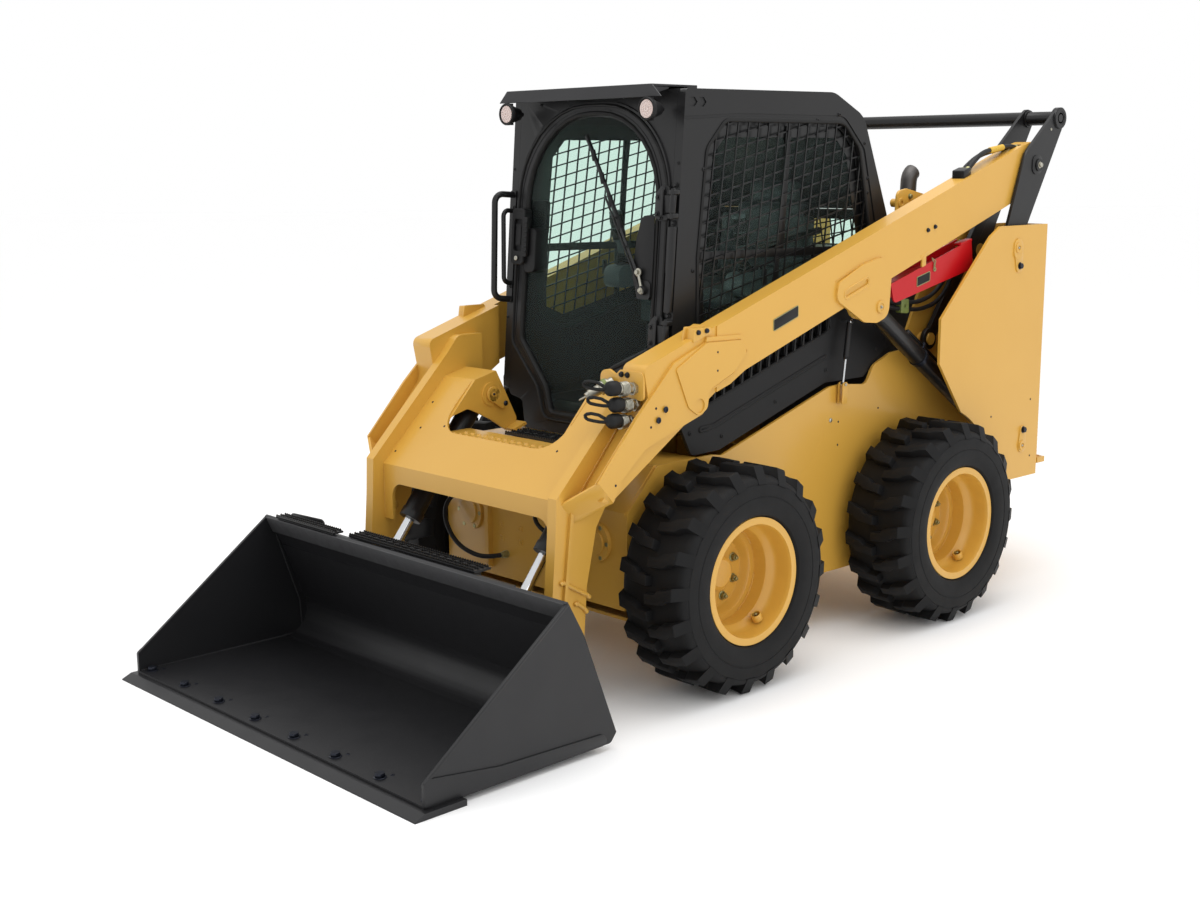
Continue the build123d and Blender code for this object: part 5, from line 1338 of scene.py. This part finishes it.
member, sockets, treads = bmesh.new(), bmesh.new(), bmesh.new()
for x, along in SLOPE_SOCKETS:
    add_button(sockets, on_slope(x, along), SLOPE_OUT, 4.5, 1.5)
for side in (1, -1):
    spot, out = side_of(side), Vector((side, 0, 0))
    # The tilt pin's bosses, its retainer plate and bolt.
    add_ring(member, spot(*TILT_PIN, 296), -out, 9, 30, 4)
    add_ring(member, spot(*TILT_PIN, 320), out, 20, 40, 4)
    tail = [(-250, 990, 22), (-206, 990, 20), (-150, 934, 14), (-178, 906, 14), (-250, 950, 22)]
    add_plate(member, tail, 292, 302, spot, 1)
    add_button(sockets, spot(-172, 929, 292), -out, 10, 6)
    add_nipple(sockets, spot(*TILT_PIN, 292), -out)
    add_weld(member, [on_slope(side * 322, 300), on_slope(side * 322, 420)], 3, 5.5)
    add_weld(member, [at(side * 489, -608, 720), at(side * 489, -608, 540)], 3, 5.5)
    for bar in GUARD_BARS:
        add_bar(member, [spot(*point, 536) for point in bar], 8, 12, 2)
    add_ring(member, spot(-560, 560, 490), -out, 12, 20, 3)
    add_ring(member, spot(-615, 200, 532), out, 30, 42, 5)
hand_over(keep(member, "cross_member_rings_and_bars"), "lift_arm", "yellow_paint")
hand_over(keep(sockets, "cross_member_sockets"), "lift_arm", "black_paint", blued_steel)
# The step behind the notch: serrated strips across black grip plate.
step_plate = [at(spot.x, spot.y, 849) for spot in rounded(box(-120, 290, -325, -232, 10), 4)]
add_slab(treads, step_plate, UP * 6 * MM, 1.0)
for station in (-322, -291, -262, -235):
    add_saw(treads, -116, 286, station, 854)
for column in range(9):
    add_turned(treads, GRIP_HOLE, at(-92 + column * 44, -276, 855), UP, 14, ring=True)
hand_over(keep(treads, "notch_step_grip"), "lift_arm", "black_paint")

# The nose: pressed squares, and the ring of bolts round each drive cover.
DRIVE_COVER = (350, 520)
COVER_BOLTS, COVER_BOLT_RADIUS = 6, 62
nose, nose_bolts = bmesh.new(), bmesh.new()
on_nose = facing(-300)
for column in (-176, -65):
    for low in (430, 482):
        square = box(column - 11, column + 11, low, low + 22, 3)
        add_loop(nose, square, [(0, -1), (1, 2.5), (3, 2.5), (5, -1)], on_nose, 3)
cover_x, cover_height = DRIVE_COVER
for side in (1, -1):
    for index in range(COVER_BOLTS):
        turn = FULL_TURN * index / COVER_BOLTS
        x = side * cover_x + COVER_BOLT_RADIUS * math.cos(turn)
        height = cover_height + COVER_BOLT_RADIUS * math.sin(turn)
        add_hex_bolt(nose_bolts, on_nose(x, height, 8), AHEAD, 15, 8, 10)
hand_over(keep(nose, "nose_pressings"), "chassis", "yellow_paint")
hand_over(keep(nose_bolts, "drive_cover_bolts"), "chassis", "zinc_steel", yellow_zinc)

# ---- skirts and gas struts ---------------------------------------------------------------------------

SKIRT_BOLTS = [(30, 880), (200, 850), (500, 942), (800, 1034), (1120, 1090), (1120, 1290)]
bars, strut_bodies, strut_rods = bmesh.new(), bmesh.new(), bmesh.new()
for side in (1, -1):
    spot, out = side_of(side), Vector((side, 0, 0))
    # A raised frame round the run of louvres, a bar between each pair, and the pressed rib below.
    run = [(96, 1030, 8), (812, 1252, 8), (826, 1196, 12), (780, 1176, 8), (110, 968, 12)]
    add_loop(bars, run, [(-3, 483), (-3, 487), (2, 489), (6, 487), (6, 483)], spot, 5)
    for index in range(15):
        station = 106 + index * 50
        height = 968 + (station - 99) * 0.31
        bar = [(station - 5, height), (station + 5, height + 3)]
        bar += [(station + 11, height + 56), (station + 1, height + 53)]
        add_plate(bars, bar, 483.5, 488, spot, 0.8)
    rib = [(70, 900, 16), (150, 902, 10), (796, 1098, 14), (812, 1080, 14), (160, 880, 10), (80, 872, 14)]
    add_loop(bars, rib, [(0, 483.2), (2, 487), (6, 488.5), (12, 487), (14, 483.2)], spot, 5)
    for place in SKIRT_BOLTS:
        add_button(bars, spot(*place, 484), out, 8, 4)
    low, high = spot(*STRUT_FOOT, 520), spot(*STRUT_HEAD, 520)
    along = high - low
    add_rod(strut_rods, low, low + along * 0.5, 5)
    add_rod(strut_bodies, low + along * 0.42, high, 10.5, 20, 3)
    add_ring(strut_bodies, low + along * 0.42, -along, 5.4, 8.5, 6)
    for place in (low, high):
        add_rod(strut_rods, place - out * 10 * MM, place + out * 12 * MM, 9, 18, 2)
    add_rod(strut_rods, high - out * 36 * MM, high + out * 6 * MM, 7)
hand_over(keep(bars, "skirt_frames_and_ribs"), "chassis", "black_plastic")
bodies = hand_over(keep(strut_bodies, "gas_strut_bodies"), "chassis", "black_paint")
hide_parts("gas_struts")
hand_over(keep(strut_rods, "gas_strut_rods"), "chassis", "chrome_rod")

# ---- bucket and coupler ------------------------------------------------------------------------------

# The cutting edge's bolts, with a ring beside each.
EDGE_BOLT_RIM = [(-0.5, 3), (-0.5, 7), (1.2, 7), (1.6, 6), (1.6, 3)]
edge_bolts = bmesh.new()
for x in (-819, -585, -351, -117, 117, 351, 585, 819):
    add_hex_bolt(edge_bolts, at(x, -1424, 29), UP, 30, 13, 21)
    add_turned(edge_bolts, EDGE_BOLT_RIM, at(x + 12, -1386, 29), UP, 14, ring=True)
hand_over(keep(edge_bolts, "edge_bolts"), "coupler", "black_paint", blued_steel)
# The thick band along the top lip and the stiffening plates on the sides.
lip_band, side_plates, corner_welds = bmesh.new(), bmesh.new(), bmesh.new()
# The lip band's paler enamel is a painted highlight of the light on its top.
add_plate(lip_band, [(-903, 518), (-875, 455), (-884, 451), (-912, 513)], -843, 843, left, 1.5)
hand_over(keep(lip_band, "bucket_lip_band"), "coupler", "bucket_paint", painted_highlight_graphite)
corner_run = [(-1455, 30), (-1200, 30), (-900, 30), (-800, 33)]
corner_run += [(-770, 60), (-776, 160), (-836, 340), (-872, 450)]
for side in (1, -1):
    spot = side_of(side)
    cheek = [(-1463, 22, 6), (-1463, 96, 10), (-1446, 109, 6)]
    cheek += [(-1180, 74, 30), (-760, 62, 30), (-722, 22, 16)]
    add_plate(side_plates, cheek, 852, 858, spot, 1.8)
    add_plate(side_plates, [(-1452, 104), (-902, 517), (-897, 509), (-1449, 95)], 850, 856.5, spot, 1.5)
    add_weld(corner_welds, [spot(*point, 842.5) for point in corner_run], 4, 8)
    add_weld(corner_welds, [spot(-1440, 21, 855), spot(-760, 24, 855)], 3.5, 7)
hand_over(keep(side_plates, "bucket_side_plates"), "coupler", "bucket_paint")
hand_over(keep(corner_welds, "bucket_corner_welds"), "coupler", "bucket_paint")

# Serrated strips stand along both edges of the treads, with round grip holes between them.
# Each tread is (low x, high x, stations of its strips, height of its top).
TREADS = [(-768, -391, (-908, -890, -871), 527), (-361, 355, (-858, -836, -815, -796), 516)]
teeth = bmesh.new()
for x_low, x_high, stations, base in TREADS:
    for station in stations:
        add_saw(teeth, x_low, x_high, station, base)
    middle = (stations[0] + stations[-1]) / 2 - 2
    for index in range(int((x_high - x_low - 30) / 42)):
        add_turned(teeth, GRIP_HOLE, at(x_low + 34 + index * 42, middle, base + 0.5), UP, 14, ring=True)
# The curved bracket under the first tread, with the rims of its teardrop holes.
bracket = [(-786, 470, 20), (-786, 528, 24), (-560, 536, 24)]
bracket += [(-540, 470, 14), (-600, 452, 30), (-700, 448, 30)]
on_bracket = facing(-838)
add_plate(teeth, bracket, -4, 1, on_bracket, 1)
for x in (-740, -672, -606):
    drop = [(x - 14, 500, 8), (x, 516, 10), (x + 16, 500, 10), (x, 480, 8)]
    add_loop(teeth, drop, [(-2, 0), (-2, 3.5), (1, 3.5), (1, 0)], on_bracket, 4)
hand_over(keep(teeth, "serrated_treads"), "coupler", "black_paint")

LOCK_X = 253


def on_back(x, height, out):
    """A point behind the coupler's leaning plate."""
    return at(x, -681 - (height - 51) * 0.39 + out, height)


locks, lock_pins = bmesh.new(), bmesh.new()
for side in (1, -1):
    spot, out = side_of(side), Vector((side, 0, 0))
    # Lever housings of the quick coupler, their sockets, pivot bolts and wedge pins.
    x = side * LOCK_X
    add_plate(locks, box(side * 210, side * 296, 300, 470, 20), -2, 38, on_back, 4)
    add_rod(locks, on_back(x, 430, 20), on_back(x, 500, 96), 17, 20, 3)
    add_ring(locks, on_back(x, 500, 96), (0, 0.6, 0.8), 11, 19, 3)
    add_hex_bolt(lock_pins, on_back(x, 350, 38), (0, 1, 0.39), 24, 10, 17)
    add_rod(lock_pins, on_back(x, 160, 18), on_back(x, 304, 18), 14, 18, 2)
    add_ring(lock_pins, spot(-716, 348, 428), out, 8, 17, 3)
    add_ring(lock_pins, spot(-716, 348, 332), -out, 8, 17, 3)
hand_over(keep(locks, "coupler_lever_housings"), "coupler", "black_paint")
hand_over(keep(lock_pins, "coupler_wedge_pins"), "coupler", "zinc_steel")

# ---- rear: door hardware, lamps, hood, exhaust and bumper --------------------------------------------

DOOR_STATION = 2262
HINGE_X = 446
HOOD_STATION = 1640
HOOD_HEIGHT = 1468
HOOD_FALL = 52 / 600
LAMP_STATION = 2035
TAIL_LAMP_X = 600


def rear_face(x, height, back):
    """A point behind the engine door's outer face."""
    return at(x, DOOR_STATION + back, height)


def tower_back(x, height, back):
    """A point behind the towers' rear faces."""
    return at(x, LAMP_STATION + back, height)


def hood_edge(x, height, back):
    """A point behind the hood's rear edge."""
    return at(x, DOOR_STATION + 6 + back, height)


def on_hood(x, station, out):
    """A point above the hood's falling lid."""
    return at(x, station, HOOD_HEIGHT - (station - HOOD_STATION) * HOOD_FALL + out)


handle, hinges, tail_bolts = bmesh.new(), bmesh.new(), bmesh.new()
case_section = [(-2, -1), (-2, 4), (1, 6), (6, 6), (9, 2), (9, -1)]
add_loop(handle, box(-418, -352, 930, 1050, 10), case_section, rear_face, 5)
add_plate(handle, box(-408, -362, 942, 1038, 6), -2, 2, rear_face, 1)
add_plate(handle, box(-402, -368, 966, 1032, 8), 2, 12, rear_face, 3)
add_ring(handle, rear_face(-385, 954, 2), BACKWARDS, 3, 9, 5)
hand_over(keep(handle, "rear_door_handle"), "rear_door", "black_plastic")
for height in (760, 1230):
    add_rod(hinges, rear_face(HINGE_X, height - 44, 0), rear_face(HINGE_X, height + 44, 0), 9, 18, 2)
    for low in (height - 36, height + 8):
        strap = [(392, low, 5), (392, low + 28, 5), (HINGE_X, low + 28, 3), (HINGE_X, low, 3)]
        add_plate(hinges, strap, 0, 5, rear_face, 1.2)
        add_hex_bolt(hinges, rear_face(412, low + 14, 5), BACKWARDS, 13, 6, 9)
hand_over(keep(hinges, "rear_door_hinges"), "rear_door", "black_paint")
for x in (-404, 404):
    for height in (660, 1320):
        add_button(tail_bolts, rear_face(x, height, 0), BACKWARDS, 9, 5)
add_loop(tail_bolts, box(120, 300, 660, 690, 6), [(0, -1), (0, 2), (3, 2), (4, -1)], rear_face, 3)
hand_over(keep(tail_bolts, "rear_door_bolts"), "rear_door", "yellow_paint", yellow_zinc)

# Rolled lips round the hood's slots, its bolts and its lifting grip.
hood_bits = bmesh.new()
rolled_lip = [(-5, -1), (-4, 2.5), (-1, 3.5), (1, 2), (1, -4)]
for x in (-210, 210):
    for row in range(8):
        station = HOOD_STATION + 90 + row * 48
        add_loop(hood_bits, box(x - 121, x + 121, station - 1, station + 21), rolled_lip, on_hood, 2)
for x in (-330, 330):
    for station in (1670, 2210):
        add_hex_bolt(hood_bits, on_hood(x, station, 0), (0, 0.09, 1), 19, 8, 14)
add_plate(hood_bits, box(-84, 84, 1372, 1392, 6), 2, 12, hood_edge, 3)
hand_over(keep(hood_bits, "hood_slot_lips_and_bolts"), "hood", "black_paint")

# Tail lamps: a red and a clear lens, each with upright flutes, in one bezel.
reds, clears, lamp_housings = bmesh.new(), bmesh.new(), bmesh.new()
for side in (1, -1):
    low_x, high_x = sorted((side * 569, side * 631))
    for shape, low in ((reds, 1378), (clears, 1310)):
        add_plate(shape, box(low_x, high_x, low, low + 52, 8), 8, 13, tower_back, 2)
        for index in range(6):
            across = low_x + 7 + index * 9.6
            add_plate(shape, box(across, across + 4, low + 6, low + 46), 12.5, 15, tower_back, 0.8)
    low_x, high_x = sorted((side * 556, side * 644))
    bezel = [(0, 0), (0, 10), (3, 14), (7, 14), (9, 8), (9, 0)]
    add_loop(lamp_housings, box(low_x, high_x, 1296, 1444, 8), bezel, tower_back, 5)
    for height in (1302, 1438):
        add_button(lamp_housings, tower_back(side * TAIL_LAMP_X, height, 11), BACKWARDS, 3.5, 3)
hand_over(keep(reds, "tail_lamp_lenses"), "chassis", "lamp_glass", red_lens)
hand_over(keep(clears, "reverse_lamp_lenses"), "chassis", "lamp_glass", clear_lens)
hand_over(keep(lamp_housings, "tail_lamp_bezels"), "chassis", "rubber_black")

# The exhaust pipe: a slim riser whose end is bent rearwards, in a clamped collar on the shelf.
STACK_X = 300
COLLAR = [(0, 34), (0, 66), (4, 66), (14, 50), (34, 37), (36, 34)]
RISER = [(1560, 1306), (1560, 1440), (1562, 1600), (1566, 1690), (1570, 1750)]
bend = [(1572 + 36 * (1 - math.cos(turn)), 1752 + 36 * math.sin(turn)) for turn in (0.3, 0.6, 0.9, 1.2)]
stack = bmesh.new()
add_pipe(stack, [at(STACK_X, *place) for place in RISER + bend], 34, 3)
add_turned(stack, COLLAR, at(STACK_X, 1560, 1440), UP, 32, ring=True)
for low in (1500, 1530):
    add_ring(stack, at(STACK_X, 1560, low), UP, 33, 38, 10)
riser = hand_over(keep(stack, "exhaust_pipe"), "chassis", "exhaust_steel")
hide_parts("exhaust_stack")

bumper = bmesh.new()
for side in (1, -1):
    for x in (300, 430):
        add_hex_bolt(bumper, at(side * x, 2282, 560), BACKWARDS, 24, 11, 18)
    add_ring(bumper, at(side * 528, 2292, 500), UP, 18, 27, 3)
    add_weld(bumper, [at(side * 440, 2283, 501), at(side * 120, 2283, 501)], 3, 6)
hand_over(keep(bumper, "bumper_bolts_and_rings"), "chassis", "yellow_paint")

# ---- cab inside, roof and the bracket behind the cab -------------------------------------------------

LEVER_X = 330
LEVER_GRIP = [(0, 0), (0, 20), (10, 27), (30, 29), (56, 26), (84, 29), (108, 27), (120, 18), (122, 0)]
boots, pads, dials = bmesh.new(), bmesh.new(), bmesh.new()
for side in (1, -1):
    # The lever's bellows, in six folds, and its grip.
    for index in range(6):
        radius = 34 - index * 3.6
        place = at(side * LEVER_X, 500 - index * 3, 1418 + index * 9)
        fold = [(0, 0), (0, radius - 4), (4, radius), (8, radius - 4), (8, 0)]
        add_turned(boots, fold, place, (0, -0.2, 1), 20)
    add_plate(pads, box(side * 290, side * 370, 640, 880, 20), 1436, 1458, at, 7, 5)
    for index in range(3):
        x = side * (314 + index * 16)
        add_rod(dials, at(x, 560 + index * 6, 1424), at(x, 558 + index * 6, 1442), 5, 12)
    add_turned(boots, LEVER_GRIP, at(side * LEVER_X, 478, 1520), (0, -0.19, 1), 22)
    # The belt's reel beside the seat.
    add_plate(boots, box(930, 990, 1290, 1370, 12), 238, 262, side_of(side), 4)
hand_over(keep(boots, "lever_boots_and_grips"), "chassis", "rubber_black")
hand_over(keep(pads, "armrest_pads"), "chassis", "seat_vinyl")
hand_over(keep(dials, "console_switches"), "chassis", "black_plastic")

# A kick plate behind the pane's foot, the monitor on the right front pillar, and the roof lining's vents.
inside = bmesh.new()
add_plate(inside, box(-210, 130, 850, 935, 20), -64, -54, front, 2)
add_plate(inside, box(-392, -300, 1560, 1690, 12), -72, -46, front, 5)
add_loop(inside, box(-386, -306, 1568, 1682, 8), [(0, -73), (4, -76), (8, -73)], front, 4)
for x in (-200, 0, 200):
    add_ring(inside, at(x, 900, 2040), (0, -0.3, -1), 16, 34, 8)
hand_over(keep(inside, "monitor_and_vents"), "chassis", "black_plastic")

# The brackets that carry the cab's rear, each with its pivot's ring and pin, and five bolts.
CAB_PIVOT = (1291, 1665)
BRACKET_FACE = 464
BRACKET_BOLTS = [(1350, 1690), (1455, 1668), (1300, 1560), (1310, 1470), (1366, 1470)]
BRACKET = [(1262, 1438), (1262, 1600, 40), (1268, 1713, 30), (1330, 1722, 24)]
BRACKET += [(1492, 1690, 20), (1505, 1640, 26), (1420, 1560, 50), (1392, 1438)]
bracket_parts, bracket_bolts = bmesh.new(), bmesh.new()
for side in (1, -1):
    spot, out = side_of(side), Vector((side, 0, 0))
    add_plate(bracket_parts, BRACKET, 452, BRACKET_FACE, spot, 2, 6)
    add_ring(bracket_parts, spot(*CAB_PIVOT, BRACKET_FACE), out, 9, 20, 5)
    add_rod(bracket_parts, spot(*CAB_PIVOT, 452), spot(*CAB_PIVOT, 420), 17, 20, 2)
    for place in BRACKET_BOLTS:
        add_hex_bolt(bracket_bolts, spot(*place, BRACKET_FACE), out, 17, 8, 12)
    add_weld(bracket_parts, [spot(1268, 1441, 465), spot(1388, 1441, 465)], 4, 7)
hand_over(keep(bracket_parts, "cab_rear_brackets"), "chassis", "yellow_paint")
hand_over(keep(bracket_bolts, "cab_rear_bracket_bolts"), "chassis", "zinc_steel", yellow_zinc)

# ---- hoses -------------------------------------------------------------------------------------------

# Each hose's body, radius and route, as (x, station, height).
HOSES = {
    "nose_hose_left": (
        "chassis",
        9,
        [
            (-430, -298, 580),
            (-430, -350, 570),
            (-424, -384, 500),
            (-340, -396, 410),
            (-226, -384, 376),
            (-158, -350, 380),
            (-146, -298, 384),
        ],
    ),
    "nose_hose_right": (
        "chassis",
        8,
        [
            (66, -298, 592),
            (70, -356, 592),
            (146, -400, 550),
            (222, -356, 508),
            (226, -298, 508),
        ],
    ),
    "arm_top_hose_outer": (
        "lift_arm",
        10,
        [
            (612, 1520, 1782),
            (612, 1562, 1818),
            (611, 1640, 1866),
            (610, 1745, 1878),
            (608, 1850, 1894),
            (606, 1916, 1878),
        ],
    ),
    "arm_top_hose_inner": (
        "lift_arm",
        10,
        [
            (586, 1520, 1780),
            (586, 1566, 1812),
            (586, 1650, 1852),
            (587, 1745, 1870),
            (588, 1846, 1884),
            (588, 1904, 1866),
        ],
    ),
    "brace_hose_upper": (
        "lift_arm",
        9,
        [
            (562, 1040, 1366),
            (560, 1060, 1312),
            (552, 1140, 1278),
            (546, 1230, 1272),
            (546, 1330, 1270),
            (548, 1430, 1300),
            (554, 1510, 1380),
            (561, 1556, 1500),
        ],
    ),
    "brace_hose_lower": (
        "lift_arm",
        9,
        [
            (562, 1010, 1356),
            (556, 1036, 1296),
            (548, 1106, 1262),
            (544, 1220, 1246),
            (544, 1350, 1236),
            (546, 1478, 1272),
            (554, 1566, 1392),
            (561, 1592, 1506),
        ],
    ),
    "cab_rear_hose": (
        "chassis",
        9,
        [
            (300, 1230, 1600),
            (300, 1262, 1590),
            (304, 1300, 1540),
            (306, 1340, 1480),
            (306, 1362, 1436),
        ],
    ),
}
crimps = {"chassis": bmesh.new(), "lift_arm": bmesh.new()}
for name, (body, radius, route) in HOSES.items():
    spots = [at(*point) for point in route]
    hose = hand_over(tube(name, spots, radius), body, "rubber_black", hose_rubber)
    bpy.context.view_layer.update()
    # A crimped ferrule and its nut at each end.
    ferrule = [(-3, 0), (-3, radius + 5), (5, radius + 5), (6, radius + 2), (9, radius + 3)]
    ferrule += [(26, radius + 3), (28, radius), (28, 0)]
    nut = [(4, radius), (4, radius + 6.5), (15, radius + 6.5), (15, radius)]
    for end, inner in ((spots[0], spots[1]), (spots[-1], spots[-2])):
        toward = (inner - end).normalized()
        add_turned(crimps[body], ferrule, end, toward, 18)
        add_turned(crimps[body], nut, end, toward, 6, ring=True)
for body, shape in crimps.items():
    hand_over(keep(shape, "hose_fittings_" + body), body, "zinc_steel", yellow_zinc)

# The sleeve on the outer hose, the brace hoses' clamp, and the blocks that hold the hoses on the arm.
SLEEVE_RUN = [(611, 1690, 1872), (610, 1740, 1878), (609, 1790, 1885)]
sleeve, clamp, block = bmesh.new(), bmesh.new(), bmesh.new()
add_bar(sleeve, [at(*point) for point in SLEEVE_RUN], 12.6, 18, 2)
hand_over(keep(sleeve, "hose_sleeve"), "lift_arm", "yellow_paint", yellow_sleeve)
add_plate(clamp, [(1180, 1234, 6), (1180, 1290, 6), (1232, 1288, 6), (1232, 1230, 6)], 532, 560, left, 3)
add_hex_bolt(clamp, left(1206, 1261, 560), (1, 0, 0), 12, 6, 9)
hand_over(keep(clamp, "hose_clamp"), "lift_arm", "black_plastic", olive_plastic)
add_plate(block, [(1486, 1748, 4), (1486, 1792, 6), (1536, 1806, 6), (1536, 1764, 4)], 570, 628, left, 3)
add_plate(block, box(1892, 1930, 1884, 1896, 4), 574, 622, left, 2)
hand_over(keep(block, "arm_hose_blocks"), "lift_arm", "black_paint")

# ---- sizes -------------------------------------------------------------------------------------------

low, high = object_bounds()
